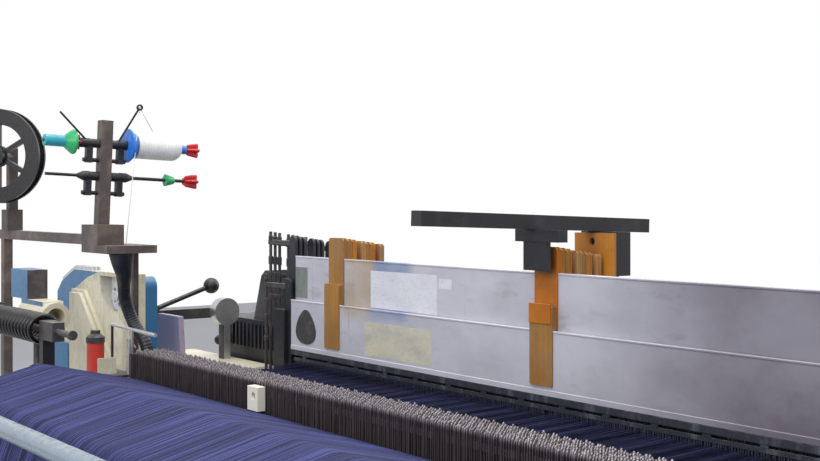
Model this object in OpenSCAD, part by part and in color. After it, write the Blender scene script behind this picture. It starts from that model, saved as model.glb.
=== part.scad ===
// Wide rapier loom for denim, seen here with its warp side at the rear (-Y).
// X runs across the cloth, Y from the warp beam to the breast beam, Z up from the floor.

/* [Warp] */
// Width of the warp sheet between its selvedges
warp_w = 2180; // [1900:10:2400]
// Thickness that stands for the sheet of yarns
sheet_t = 1.2; // [0.8:0.1:2]
// Height of the yarns at the point where cloth forms
fell_z = 968; // [940:1:990]
// Distance of that point in front of the loom's middle
fell_y = 690; // [670:1:710]
// Gap kept between a sheet and the rollers that it passes
sheet_gap = 0.8; // [0.6:0.1:1.5]

/* [Warp beam] */
// Distance of the beam axis behind the loom's middle
beam_back = 560; // [540:1:600]
// Height of the beam axis
beam_z = 450; // [440:1:480]
// Radius of the beam flanges
flange_r = 400; // [360:1:420]
// Thickness of a beam flange
flange_t = 16; // [12:1:22]
// Radius of the wound yarn
package_r = 300; // [200:1:340]
// Radius of the bare beam barrel
barrel_r = 108; // [80:1:130]
// Radius of the beam journals
journal_r = 35; // [28:1:42]
// Teeth on the beam gear
beam_teeth = 50; // [40:1:60]
// Teeth on the let-off pinion
pinion_teeth = 12; // [10:1:16]
// Gear module, pitch diameter divided by teeth
gear_module = 8; // [7:0.5:8.5]
// Face width of the gears
gear_w = 34; // [24:1:40]

/* [Side frames] */
// Gap between the warp's edge and the side frames
side_gap = 110; // [100:1:130]
// Thickness of a side frame casting
side_t = 50; // [40:1:58]
// Height of the side frames under the heald frames
deck_z = 880; // [860:1:890]
// Extra height of the side frames at the rear
rear_rise = 50; // [40:1:60]
// Width of the square cross tubes
cross_w = 120; // [100:1:124]
// Wall of the cross tubes
cross_wall = 10; // [6:1:14]
// Thickness of a foot plate
foot_t = 20; // [16:1:30]
// Radius of the anchor holes in the feet
anchor_r = 9; // [7:0.5:12]
// Distance of the anchor holes from the loom's middle, along the sides
foot_y = 700; // [640:1:740]

/* [Back rest] */
// Radius of the deflection roller
deflect_r = 47; // [40:1:52]
// Radius of the whip roller
whip_r = 62; // [50:1:66]
// Distance of the whip roller behind the loom's middle
whip_back = 447; // [437:1:457]
// Height of the whip roller axis
whip_z = 1028; // [1018:1:1038]
// Distance of the deflection roller behind the loom's middle
deflect_back = 631; // [622:1:640]
// Height of the deflection roller axis
deflect_z = 1000; // [990:1:1010]
// Radius of the guard tube
guard_r = 21; // [16:1:25]
// Height of the coil spring's axis
spring_z = 1168; // [1160:1:1180]
// Radius of the coil spring on its tie rod
coil_r = 44; // [36:1:50]
// Radius of the spring wire
coil_wire_r = 7; // [5:0.5:8]
// Turns of the coil spring
coil_turns = 15; // [10:1:18]

/* [Droppers] */
// Rows of droppers
dropper_rows = 6; // [4:1:6]
// Distance between dropper rows
dropper_pitch = 15; // [12:0.5:16]
// Thickness of a row of droppers
dropper_t = 6; // [5:0.5:7]
// Height of the dropper tops
dropper_top = 1105; // [1095:1:1115]
// Droppers modelled in each row
dropper_count = 110; // [60:1:120]

/* [Heald frames] */
// Distance between neighbouring heald frames
heald_pitch = 16.5; // [16.5:0.1:18]
// Distance of the first heald frame in front of the loom's middle
first_heald_y = 350; // [340:1:352]
// Height of an upper stave
stave_h = 152; // [140:1:160]
// Thickness of a stave
stave_t = 9; // [7:0.5:10]
// Height of a lower stave
lower_stave_h = 90; // [70:1:100]
// Lift of the first frame above and below the middle shed line
half_lift = 68; // [55:1:70]
// Fall of that lift for each millimetre towards the cloth
lift_fall = 0.15; // [0.1:0.01:0.16]
// Distance from the heald eyes to the staves
eye_to_stave = 172; // [168:1:190]
// Distance from the warp's edge to the end of a heald frame
frame_over = 56; // [50:1:62]
// Width of an end brace
brace_w = 36; // [30:1:44]
// Height of the brace tops above the stave
brace_rise = 62; // [40:1:70]
// Width of a wear strip
strip_w = 76; // [60:1:84]
// Thickness across a pair of wear strips
strip_t = 15; // [12:0.5:15.5]
// Distance of the outer wear strips from the loom's middle
strip_x = 880; // [800:1:940]
// Distance between modelled healds
heald_step = 36; // [30:1:50]
// Width of a modelled heald
heald_w = 4; // [2:0.5:8]
// Running clearance of the frames in their guides
guide_clear = 0.6; // [0.4:0.1:1.2]
// Radius of the lifting rods
lift_rod_r = 5; // [4:0.5:6.5]

/* [Sley and reed] */
// Distance of the sley shaft in front of the loom's middle
sley_y = 500; // [490:1:505]
// Height of the sley shaft
sley_z = 500; // [480:1:510]
// Radius of the sley shaft
sley_shaft_r = 30; // [24:1:34]
// Distance of the reed in front of the loom's middle at rest
reed_y = 606; // [604:1:612]
// Height of the sley beam's top
sley_top = 930; // [915:1:934]
// Depth of the sley beam
sley_depth = 78; // [60:1:90]
// Height of the reed
reed_h = 130; // [110:1:150]
// Width of the gaps modelled in the reed
dent_gap = 30; // [26:1:32]

/* [Cloth side] */
// Radius of the breast tube
breast_r = 45; // [36:1:52]
// Radius of the take-up roller
takeup_r = 55; // [48:1:60]
// Radius of the press roller
press_r = 30; // [24:1:34]
// Radius of the wound cloth
cloth_roll_r = 150; // [100:1:158]
// Height of the cloth roll axis
cloth_roll_z = 330; // [310:1:350]
// Radius of the cloth roll's core
cloth_core_r = 40; // [30:1:50]

/* [End housings] */
// Length of each end housing beyond its side frame
drive_w = 690; // [600:1:760]
// Depth of the rear end housings
drive_d = 160; // [130:1:180]
// Height of the rear end housings
drive_h = 1300; // [1250:1:1320]
// Height of the right rear housing
right_drive_h = 1180; // [1000:10:1240]
// Radius of the drive disc in the left housing
disc_r = 46; // [36:1:48]
// Width of the control cabinet
cabinet_w = 180; // [140:1:220]
// Height of the control cabinet
cabinet_h = 1180; // [1000:1:1300]

/* [Creel] */
// Side of the square creel tubes
creel_s = 30; // [24:1:36]
// Height of the creel beam's top
creel_z = 1428; // [1400:1:1440]
// Height of the creel bar's top
creel_top = 1760; // [1700:1:1800]
// Distance between the two spindles of the creel bar
spindle_gap = 94; // [84:1:110]
// Radius of a creel spindle
spindle_r = 5; // [4:0.5:6]
// Radius of the lower spindle's free end
end_r = 4.5; // [4:0.1:6]
// Radius of the white yarn package
cone_r = 36; // [30:1:42]
// Radius of the flanged spool
spool_r = 156; // [120:1:160]
// Width of the flanged spool
spool_w = 48; // [40:1:80]

/* [Hidden] */
$fn = 48;

// Reach of the loom behind and in front of its middle
beam_y = -beam_back;
reach_y = beam_back + flange_r;
whip_y = -whip_back;
deflect_y = -deflect_back;
warp_half = warp_w / 2;
side_in = warp_half + side_gap;
side_out = side_in + side_t;
rear_z = deck_z + rear_rise;
drive_gap = 60;
drive_flare = 60;
drive_in = side_out + drive_gap;
drive_out = side_out + drive_w;
half_len = drive_out + drive_flare + cabinet_w;

// Profile drawn in Y-Z and carried along +X
module along_x(x0, length) {
  translate([x0, 0, 0])
    rotate([90, 0, 90])
      linear_extrude(length) children();
}

// Profile drawn in X-Z and carried along +Y
module along_y(y0, length) {
  translate([0, y0 + length, 0])
    rotate([90, 0, 0])
      linear_extrude(length) children();
}

// Round bar along X
module bar_x(r, x0, length, y, z) {
  translate([x0, y, z])
    rotate([0, 90, 0])
      cylinder(r = r, h = length);
}

// Round bar along Y
module bar_y(r, y0, length, x, z) {
  translate([x, y0, z])
    rotate([-90, 0, 0])
      cylinder(r = r, h = length);
}

// Block from its low corner to its high corner
module block(lo, hi) {
  translate(lo)
    cube(hi - lo);
}

// Rounded rectangle between two corners, in a plane
module round_rect(lo, hi, r) {
  translate([lo[0] + r, lo[1]])
    square([hi[0] - lo[0] - 2 * r, hi[1] - lo[1]]);
  translate([lo[0], lo[1] + r])
    square([hi[0] - lo[0], hi[1] - lo[1] - 2 * r]);
  for (x = [lo[0] + r, hi[0] - r])
    for (y = [lo[1] + r, hi[1] - r])
      translate([x, y])
        circle(r);
}

// The same piece at both ends of the loom
module both_ends() {
  children();
  mirror([1, 0, 0])
    children();
}

// Angle of a plane vector
function heading(v) = atan2(v[1], v[0]);
// Left-hand normal of the straight run between two circles of signed radius
function run_normal(a, b) = heading([b[0] - a[0], b[1] - a[1]])
  + acos((a[2] - b[2]) / norm([b[0] - a[0], b[1] - a[1]]));
// Angle turned on a circle, negative where the path bends to the right
function turn(r, a1, a2) = r >= 0 ? -((a1 - a2 + 720) % 360) : ((a2 - a1 + 720) % 360);
// Points of the arc that a path takes round one circle
function wrap(c, a1, a2) = [for (i = [0 : wrap_steps])
  let (a = a1 + turn(c[2], a1, a2) * i / wrap_steps) [c[0] + c[2] * cos(a), c[1] + c[2] * sin(a)]];
// One edge of a band that passes a list of circles [y, z, signed radius]
function band_edge(cs) = [for (k = [1 : len(cs) - 2])
  each wrap(cs[k], run_normal(cs[k - 1], cs[k]), run_normal(cs[k], cs[k + 1]))];
function thicker(cs, t) = [for (c = cs) [c[0], c[1], c[2] + t]];
function reversed(v) = [for (i = [len(v) - 1 : -1 : 0]) v[i]];
// End point of a run that leaves the second of two circles' tangent
function tangent_on(a, b) = let (n = run_normal(a, b)) [b[0] + b[2] * cos(n), b[1] + b[2] * sin(n)];
function tangent_off(a, b) = let (n = run_normal(a, b)) [a[0] + a[2] * cos(n), a[1] + a[2] * sin(n)];
wrap_steps = 14;

// Outline of a band of thickness t past circles, from the first tangent to the last one
module band(cs, t) {
  outer = thicker(cs, t);
  last = len(cs) - 1;
  polygon(concat(
    [tangent_off(cs[0], cs[1])], band_edge(cs), [tangent_on(cs[last - 1], cs[last])],
    [tangent_on(outer[last - 1], outer[last])], reversed(band_edge(outer)), [tangent_off(outer[0], outer[1])]));
}

// Spur gear outline with straight-sided teeth, the first tooth centred on +X
function gear_outline(teeth, m, slack) = [for (i = [0 : teeth - 1]) each
  let (a = 360 / teeth * i, rp = m * teeth / 2, half = 90 / teeth - slack / rp * 57.3)
  [[rp - 1.2 * m, a - half * 1.7], [rp, a - half], [rp + 0.9 * m, a - half * 0.5],
   [rp + 0.9 * m, a + half * 0.5], [rp, a + half], [rp - 1.2 * m, a + half * 1.7]]];
module gear(teeth, m, slack) {
  polygon([for (p = gear_outline(teeth, m, slack)) [p[0] * cos(p[1]), p[0] * sin(p[1])]]);
}

// Side frames: cast plates with rounded windows and ribs

bearing_hub_r = 70;
frame_back = 820;
frame_front = 860;
side_outline = [
  [-frame_back, foot_t], [-frame_back, foot_t + 90], [-frame_back + 90, foot_t + 200],
  [-frame_back + 120, rear_z], [-330, rear_z], [-280, deck_z], [frame_front - 90, deck_z],
  [frame_front, deck_z - 50], [frame_front, foot_t], [frame_front - 260, foot_t], [frame_front - 330, foot_t + 100],
  [-frame_back + 330, foot_t + 100], [-frame_back + 260, foot_t]
];
side_windows = [
  [[-655, 630], [-420, 860]], [[-385, 450], [-200, 810]], [[15, 500], [405, 810]],
  [[15, 180], [405, 430]], [[620, 560], [740, 820]]
];
window_round = 36;
motor_shaft_r = 18;
gear_centre = gear_module * (beam_teeth + pinion_teeth) / 2 + 0.6;
pinion_angle = -28;
pinion_y = beam_y + gear_centre * cos(pinion_angle);
pinion_z = beam_z + gear_centre * sin(pinion_angle);
breast_y = reach_y - breast_r - sheet_gap - sheet_t;
breast_z = fell_z - breast_r;
takeup_y = breast_y + breast_r - takeup_r;
takeup_z = 770;
press_y = takeup_y - takeup_r - press_r - 2 * sheet_gap - sheet_t;
press_z = takeup_z + 12;
cloth_roll_y = reach_y - 180;
stub_r = 15;
press_stub = 20;
run_clear = 0.05;

module side_frame() {
  difference() {
    union() {
      along_x(side_in, side_t)
        difference() {
          polygon(side_outline);
          for (w = side_windows)
            round_rect(w[0], w[1], window_round);
        }
      // Raised bosses round the shafts, on the outer face
      bar_x(bearing_hub_r + 30, side_out, rib_t, beam_y, beam_z);
      bar_x(sley_shaft_r + 26, side_out, rib_t, sley_y, sley_z);
      bar_x(stub_r + 28, side_out, rib_t, cloth_roll_y, cloth_roll_z);
      // Ribs that stiffen the casting
      block([side_out, -190, 150], [side_out + rib_t, -160, deck_z - 20]);
      block([side_out, -frame_back + 160, 160], [side_out + rib_t, frame_front - 60, 185]);
      block([side_out, 430, 200], [side_out + rib_t, 456, deck_z - 20]);
    }
    bar_x(bearing_hub_r, side_in - 1, side_t + rib_t + 2, beam_y, beam_z);
    bar_x(sley_shaft_r + run_clear, side_in - 1, side_t + rib_t + 2, sley_y, sley_z);
    bar_x(stub_r + run_clear, side_in - 1, side_t + rib_t + 2, cloth_roll_y, cloth_roll_z);
    bar_x(motor_shaft_r + 2, side_in - 1, side_t + rib_t + 2, pinion_y, pinion_z);
    bar_x(stub_r + run_clear, side_in - 1, press_stub + 2, press_y, press_z);
  }
}
rib_t = 9;
module left_side_frame() {
  color([0.52, 0.56, 0.52])
    mirror([1, 0, 0])
      side_frame();
}
module right_side_frame() {
  color([0.52, 0.56, 0.52])
    side_frame();
}

// Cross tubes that tie the side frames together
cross_places = [[-180, 700], [480, 200], [600, 60]];
module cross_tubes() {
  color([0.45, 0.48, 0.47])
    for (p = cross_places)
      along_x(-side_in, 2 * side_in)
        difference() {
          translate(p)
            square(cross_w);
          translate(p + [cross_wall, cross_wall])
            square(cross_w - 2 * cross_wall);
        }
}

// Foot plates with the anchor holes beside the castings
foot_out = 55;
anchor_x = side_out + foot_out / 2;
module floor_feet() {
  color([0.3, 0.31, 0.32])
    both_ends()
      for (s = [-1, 1])
        difference() {
          block([side_in, s * foot_y - 90, 0], [side_out + foot_out, s * foot_y + 90, foot_t]);
          translate([anchor_x, s * foot_y, -1])
            cylinder(r = anchor_r, h = foot_t + 2);
        }
}

// Warp beam and its drive
journal_end = side_out + 14;
module beam_bearings() {
  color([0.25, 0.26, 0.28])
    both_ends()
      difference() {
        union() {
          bar_x(bearing_hub_r, side_in, side_t + rib_t, beam_y, beam_z);
          bar_x(bearing_hub_r + 18, side_out + rib_t, 10, beam_y, beam_z);
        }
        bar_x(journal_r + run_clear, side_in - 1, side_t + rib_t + 12, beam_y, beam_z);
      }
}
flange_in = warp_half + 4;
module warp_beam_barrel() {
  color([0.7, 0.71, 0.72]) {
    bar_x(barrel_r, -flange_in - flange_t, 2 * (flange_in + flange_t), beam_y, beam_z);
    bar_x(journal_r, -journal_end, 2 * journal_end, beam_y, beam_z);
  }
}
lightening = 8;
module beam_flange() {
  along_x(flange_in, flange_t)
    translate([beam_y, beam_z])
      difference() {
        circle(flange_r, $fn = 96);
        circle(barrel_r);
      }
  // Stiffening ribs and rim on the outer face
  along_x(flange_in + flange_t, 8)
    translate([beam_y, beam_z]) {
      difference() {
        circle(flange_r, $fn = 96);
        circle(flange_r - 14, $fn = 96);
      }
      for (k = [0 : lightening - 1])
        rotate(k * 360 / lightening + 10)
          translate([rib_start, -6])
            square([flange_r - 10 - rib_start, 12]);
    }
}
rib_start = gear_centre + gear_module * (pinion_teeth / 2 + 1) + 6;
module warp_beam_flanges() {
  color([0.75, 0.76, 0.77])
    both_ends()
      beam_flange();
}
module wound_warp() {
  color([0.09, 0.1, 0.22])
    difference() {
      bar_x(package_r, -flange_in, 2 * flange_in, beam_y, beam_z, $fn = 96);
      bar_x(barrel_r, -flange_in - 1, 2 * flange_in + 2, beam_y, beam_z);
    }
}
gear_x = -flange_in - flange_t - gear_w;
module beam_gear() {
  color([0.35, 0.36, 0.38])
    along_x(gear_x, gear_w)
      translate([beam_y, beam_z])
        difference() {
          rotate(pinion_angle)
            gear(beam_teeth, gear_module, 0.5);
          circle(journal_r);
          for (k = [0 : 5])
            rotate(60 * k)
              translate([gear_module * beam_teeth / 4 + journal_r / 2, 0])
                circle(gear_module * 4);
        }
}
module let_off_pinion() {
  color([0.6, 0.6, 0.62]) {
    along_x(gear_x, gear_w)
      translate([pinion_y, pinion_z])
        rotate(pinion_angle + 180 + 180 / pinion_teeth)
          gear(pinion_teeth, gear_module, 0.5);
    bar_x(motor_shaft_r, -side_out - 60, side_out + 60 + gear_x, pinion_y, pinion_z);
  }
}
box_w = 120;
motor_r = 62;
motor_len = 220;
shaft_in = 62;
module let_off_motor() {
  color([0.2, 0.22, 0.24])
    difference() {
      union() {
        block([-side_out - box_w, pinion_y - 90, pinion_z - 100], [-side_out, pinion_y + 90, pinion_z + 90]);
        bar_x(motor_r, -side_out - box_w - motor_len, motor_len, pinion_y + 10, pinion_z - 10);
        for (k = [0 : 7])
          bar_x(motor_r + 10, -side_out - box_w - 26 - 24 * k, 8, pinion_y + 10, pinion_z - 10);
      }
      bar_x(motor_shaft_r + run_clear, -side_out - shaft_in, shaft_in + 1, pinion_y, pinion_z);
    }
}

// Back rest: brackets, guard tube, deflection roller, rocking arms and whip roller

bracket_t = 20;
bracket_in = side_in - 60;
arm_t = 16;
arm_in = bracket_in - arm_t - 4;
pivot_y = whip_y + 67;
pivot_z = whip_z - 43;
pivot_r = 16;
guard_y = -741;
guard_z = 1043;
spring_y = -380;
bracket_foot = 16;
bracket_outline = [
  [guard_y - 34, rear_z + 62], [guard_y - 34, guard_z + 28], [guard_y + 30, guard_z + 28], [deflect_y - 30, deflect_z + 62],
  [deflect_y + 40, deflect_z + 62], [spring_y - 62, pivot_z + 34], [spring_y + 20, pivot_z + 34],
  [spring_y + 44, rear_z + bracket_foot], [spring_y + 44, rear_z], [-frame_back + 124, rear_z]
];
module back_rest_bracket() {
  difference() {
    union() {
      along_x(bracket_in, bracket_t)
        polygon(bracket_outline);
      block([bracket_in, -frame_back + 124, rear_z], [side_out, spring_y + 44, rear_z + bracket_foot]);
    }
    bar_x(stub_r + run_clear, bracket_in - 1, bracket_t + 2, deflect_y, deflect_z);
    bar_x(pivot_r + run_clear, bracket_in - 1, bracket_t + 2, pivot_y, pivot_z);
    bar_x(guard_r, bracket_in - 1, bracket_t + 2, guard_y, guard_z);
  }
}
module back_rest_brackets() {
  color([0.18, 0.19, 0.2]) {
    both_ends()
      back_rest_bracket();
    // Post that carries the tie rod block on the left
    block([-spring_in, spring_y - block_t / 2, rear_z + bracket_foot], [-spring_in + post_w, spring_y + block_t / 2, spring_z - block_s]);
  }
}
module guard_tube() {
  color([0.66, 0.7, 0.66])
    difference() {
      bar_x(guard_r, -bracket_in - bracket_t, 2 * (bracket_in + bracket_t), guard_y, guard_z);
      bar_x(guard_r - 3, -bracket_in - bracket_t - 1, 2 * (bracket_in + bracket_t) + 2, guard_y, guard_z);
    }
}
roller_half = warp_half + 22;
module deflection_roller() {
  color([0.72, 0.73, 0.75]) {
    bar_x(deflect_r, -roller_half, 2 * roller_half, deflect_y, deflect_z);
    bar_x(stub_r, -bracket_in - bracket_t, 2 * (bracket_in + bracket_t), deflect_y, deflect_z);
  }
}
whip_journal_r = 18;
module back_rest_arms() {
  color([0.28, 0.29, 0.3])
    both_ends()
      difference() {
        union() {
          along_x(arm_in, arm_t) {
            translate([whip_y, whip_z])
              circle(34);
            translate([pivot_y, pivot_z])
              circle(30);
            translate([whip_y, whip_z])
              rotate(heading([pivot_y - whip_y, pivot_z - whip_z]))
                translate([0, -24])
                  square([norm([pivot_y - whip_y, pivot_z - whip_z]), 48]);
          }
          bar_x(pivot_r, arm_in, bracket_t + arm_t + 4, pivot_y, pivot_z);
        }
        bar_x(whip_journal_r + run_clear, arm_in - 1, arm_t + 2, whip_y, whip_z);
      }
}
whip_half = arm_in - 6;
module whip_roller() {
  color([0.78, 0.79, 0.8]) {
    bar_x(whip_r, -whip_half, 2 * whip_half, whip_y, whip_z);
    bar_x(whip_journal_r, -arm_in - arm_t, 2 * (arm_in + arm_t), whip_y, whip_z);
  }
}
// Spring loaded tie rod beside the whip roller
block_s = 26;
block_t = 34;
block_len = 100;
post_w = 28;
rod_r = 9;
rod_head_r = 13;
rod_head = 12;
rod_tail = 60;
rod_end = warp_half - 64;
spring_in = side_out - 20;
spring_len = 420;
washer_t = 14;
module tie_rod() {
  color([0.16, 0.16, 0.18]) {
    bar_x(rod_r, -spring_in - spring_len - rod_tail, spring_in + spring_len + rod_tail - rod_end, spring_y, spring_z);
    bar_x(rod_head_r, -rod_end - rod_head, rod_head, spring_y, spring_z);
    block([-spring_in, spring_y - block_t / 2, spring_z - block_s],
          [-spring_in + block_len, spring_y + block_t / 2, spring_z + block_s]);
    bar_x(coil_r + 6, -spring_in - spring_len - washer_t, washer_t, spring_y, spring_z);
  }
}
// Points of the coil: a circle that advances along X as it turns
coil_sides = 6;
coil_steps = 16;
coil_rings = coil_turns * coil_steps;
coil_end = coil_wire_r * sin(60);
coil_lead = (spring_len - 2 * coil_end) / coil_turns;
function coil_ring(i) = let (a = 360 * i / coil_steps, x = coil_end + coil_lead * i / coil_steps)
  [for (k = [0 : coil_sides - 1])
    let (b = 360 * k / coil_sides, r = coil_r - coil_wire_r + coil_wire_r * cos(b))
    [-spring_in - x + coil_wire_r * sin(b), spring_y + r * cos(a), spring_z + r * sin(a)]];
module coil_spring() {
  points = [for (i = [0 : coil_rings]) each coil_ring(i)];
  skin = [for (i = [0 : coil_rings - 1]) for (k = [0 : coil_sides - 1])
    let (n = (k + 1) % coil_sides, p = coil_sides)
    [i * p + k, i * p + n, (i + 1) * p + n, (i + 1) * p + k]];
  caps = [[for (k = [coil_sides - 1 : -1 : 0]) k], [for (k = [0 : coil_sides - 1]) coil_rings * coil_sides + k]];
  color([0.07, 0.07, 0.08])
    polyhedron(points = points, faces = concat(skin, caps), convexity = 6);
}

// Warp sheet from the beam over the two rollers to the droppers
dropper_back = 151;
dropper_z = 1020;
warp_path = [
  [beam_y, beam_z, package_r + sheet_gap], [deflect_y, deflect_z, deflect_r + sheet_gap],
  [whip_y, whip_z, whip_r + sheet_gap], [-dropper_back + 1, dropper_z, 0]
];
module rear_warp_sheet() {
  color([0.1, 0.11, 0.26])
    along_x(-warp_half, warp_w)
      difference() {
        band(warp_path, sheet_t);
        translate([-dropper_back, dropper_z - 10])
          square([10, 30]);
      }
}

// Drop wire stop motion
bar_h = 14;
bar_w = 2.4;
dropper_half = warp_half + 48;
dropper_low = 990;
contact_z = dropper_top - 42;
bank_in = dropper_half + 6;
function row_y(i) = -dropper_back + dropper_t / 2 + i * dropper_pitch;
hand_rail_r = 5;
hand_rail_x = -side_out - 47;
hand_rail_y = -156;
hand_rail_z = 1163;
module dropper_rails() {
  bank_front = row_y(dropper_rows - 1) + 12;
  color([0.55, 0.57, 0.58])
    both_ends()
      difference() {
        union() {
          block([bank_in, -dropper_back - 12, deck_z], [bank_in + 14, bank_front, dropper_top - 14]);
          block([bank_in, -dropper_back - 12, deck_z], [side_out, bank_front, deck_z + 14]);
        }
        for (i = [0 : dropper_rows - 1])
          block([bank_in - 1, row_y(i) - bar_w / 2, contact_z], [bank_in + 15, row_y(i) + bar_w / 2, contact_z + bar_h]);
      }
  // Hand rail on two legs
  color([0.75, 0.75, 0.76]) {
    rod(hand_rail_r, [hand_rail_x, hand_rail_y, hand_rail_z], [-side_in + 200, hand_rail_y, hand_rail_z - 7]);
    rod(hand_rail_r - 1, [hand_rail_x + 5, hand_rail_y, can_z], [hand_rail_x + 5, hand_rail_y, hand_rail_z]);
    rod(hand_rail_r - 1, [-bank_in - 7, hand_rail_y, dropper_top - 14 - lap], [-bank_in - 7, hand_rail_y, hand_rail_z - 3]);
  }
  // Socket that takes the lower end of the hose
  color([0.2, 0.2, 0.22])
    block([-bank_in - 44, hose_end[1] - 24, hose_end[2] - 26], [-bank_in, hose_end[1] + 24, hose_end[2]]);
  // Contact bars through the rows of droppers
  color([0.75, 0.75, 0.76])
    for (i = [0 : dropper_rows - 1])
      block([-bank_in - 14, row_y(i) - bar_w / 2, contact_z], [bank_in + 14, row_y(i) + bar_w / 2, contact_z + bar_h]);
}
// One row: a wall of drop wires whose rounded tops stand at slightly different heights
function dropper_tops(i) = [for (k = [0 : dropper_count - 1]) each
  let (p = 2 * dropper_half / dropper_count, x = -dropper_half + p * k, z = dropper_top - 3 * ((k * 5 + i * 2) % 4))
  [[x + 0.12 * p, z - 8], [x + 0.36 * p, z], [x + 0.64 * p, z], [x + 0.88 * p, z - 8]]];
module dropper_row(i) {
  difference() {
    along_y(row_y(i) - dropper_t / 2, dropper_t)
      polygon(concat([[-dropper_half, dropper_low]], dropper_tops(i), [[dropper_half, dropper_low]]));
    block([-dropper_half - 1, row_y(i) - bar_w / 2, contact_z], [dropper_half + 1, row_y(i) + bar_w / 2, contact_z + bar_h]);
  }
}
module droppers() {
  color([0.42, 0.38, 0.38])
    for (i = [0 : dropper_rows - 1])
      dropper_row(i);
}
// Plastic block that parts the warp at the rear of the bank
separator_x = -437;
module dropper_separator() {
  color([0.88, 0.84, 0.7])
    difference() {
      block([separator_x - 24, -dropper_back - 22, dropper_z + 9], [separator_x + 24, -dropper_back, dropper_z + 66]);
      bar_y(9, -dropper_back - 23, 24, separator_x + 4, dropper_z + 44);
    }
}

// Heald frames

heald_frames = 10;
frame_half = warp_half + frame_over;
function frame_y(i) = first_heald_y + heald_pitch * (i - 1);
function lift(i) = round(10 * (half_lift - lift_fall * heald_pitch * (i - 1))) / 10;
// Three frames of every four stand raised, for a three over one twill
function raised(i) = (i % 4 == 1) ? -1 : 1;
function eye_z(i) = fell_z + raised(i) * lift(i);
// Depth that the pieces of one heald frame run into each other
lap = 1;
rail_h = 18;
rail_t = 8;
rail_half = frame_half - brace_w + lap;
hook_h = 6;
hook_w = 24;
hook_step = floor(warp_half / 2.5);
heald_bar_h = 10;
heald_bar_t = 3;
heald_t = 1.6;
heald_pairs = floor((warp_half - 10) / heald_step);
lift_x = frame_half + 120;
yoke_z = 30;
yoke_h = 16;
rod_drop = 720;
mid_strip_x = 4;
module wear_strips(i, z) {
  for (x = [-strip_x, mid_strip_x, strip_x])
    difference() {
      block([x - strip_w / 2, frame_y(i) - strip_t / 2, z + 22], [x + strip_w / 2, frame_y(i) + strip_t / 2, z + stave_h + 60]);
      block([x - strip_w, frame_y(i) - stave_t / 2, z], [x + strip_w, frame_y(i) + stave_t / 2, z + stave_h]);
    }
}
module end_brace(i, z, low) {
  along_y(frame_y(i) - stave_t / 2, stave_t) {
    translate([frame_half - brace_w, low])
      square([brace_w, z + stave_h + brace_rise - brace_w / 2 - low]);
    translate([frame_half - brace_w / 2, z + stave_h + brace_rise - brace_w / 2])
      circle(brace_w / 2);
  }
}
// Healds hang between two flat bars and part at X = 0, where the centre stand passes
module heald_set(i) {
  y = frame_y(i);
  top = eye_z(i) + eye_to_stave - rail_h - hook_h;
  low = 2 * eye_z(i) - top;
  union() {
    for (z = [low - heald_bar_h, top])
      block([-warp_half - 8, y - heald_bar_t / 2, z], [warp_half + 8, y + heald_bar_t / 2, z + heald_bar_h]);
    for (k = [-heald_pairs : heald_pairs - 1])
      block([(k + 0.5) * heald_step - heald_w / 2, y - heald_t / 2, low - 1],
            [(k + 0.5) * heald_step + heald_w / 2, y + heald_t / 2, top + 1]);
  }
}
module heald_frame(i) {
  y = frame_y(i);
  z = eye_z(i) + eye_to_stave;
  low = eye_z(i) - eye_to_stave - lower_stave_h;
  color([0.72, 0.74, 0.78])
    along_y(y - stave_t / 2, stave_t) {
      translate([-frame_half + brace_w, z])
        square([2 * (frame_half - brace_w), stave_h]);
      translate([-frame_half + brace_w, low])
        square([2 * (frame_half - brace_w), lower_stave_h]);
    }
  color([0.5, 0.55, 0.52])
    for (zz = [z - rail_h, low + lower_stave_h - lap])
      block([-rail_half, y - rail_t / 2, zz], [rail_half, y + rail_t / 2, zz + rail_h + lap]);
  color([0.1, 0.1, 0.11])
    both_ends()
      end_brace(i, z, low);
  color([0.85, 0.5, 0.12])
    wear_strips(i, z);
  color([0.2, 0.2, 0.28]) {
    heald_set(i);
    // Hooks that carry the heald bars on the rails
    for (k = [-2, -1, 1, 2])
      for (zz = [z - rail_h - hook_h, low + lower_stave_h + rail_h])
        block([k * hook_step - hook_w / 2, y - heald_bar_t / 2, zz - lap],
              [k * hook_step + hook_w / 2, y + heald_bar_t / 2, zz + hook_h + lap]);
  }
  // Lifting rod at the left, tied to the brace by a yoke above the guides
  color([0.12, 0.12, 0.14]) {
    block([-lift_x - 9, y - rail_t / 2, z + stave_h + yoke_z],
          [-frame_half + brace_w / 2, y + rail_t / 2, z + stave_h + yoke_z + yoke_h]);
    translate([-lift_x, y, z + stave_h + yoke_z - rod_drop])
      cylinder(r = lift_rod_r, h = rod_drop + yoke_h / 2);
    block([-lift_x - 8, y - 6.5, z + stave_h + yoke_z + yoke_h], [-lift_x + 8, y + 6.5, z + stave_h + yoke_z + yoke_h + 26]);
  }
}

// Grooved guides for the frame ends
guide_in = frame_half - 14;
guide_top = 1190;
module heald_guides() {
  back = frame_y(1) - 16;
  front = frame_y(heald_frames) + 16;
  color([0.09, 0.09, 0.1])
    both_ends()
      difference() {
        union() {
          block([guide_in, back, deck_z], [side_in - 6, front, guide_top]);
          block([guide_in, back, deck_z], [side_out, front, deck_z + 24]);
        }
        for (i = [1 : heald_frames])
          block([guide_in - 1, frame_y(i) - stave_t / 2 - guide_clear, deck_z - 1],
                [frame_half + guide_clear, frame_y(i) + stave_t / 2 + guide_clear, guide_top + 1]);
      }
}

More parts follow.
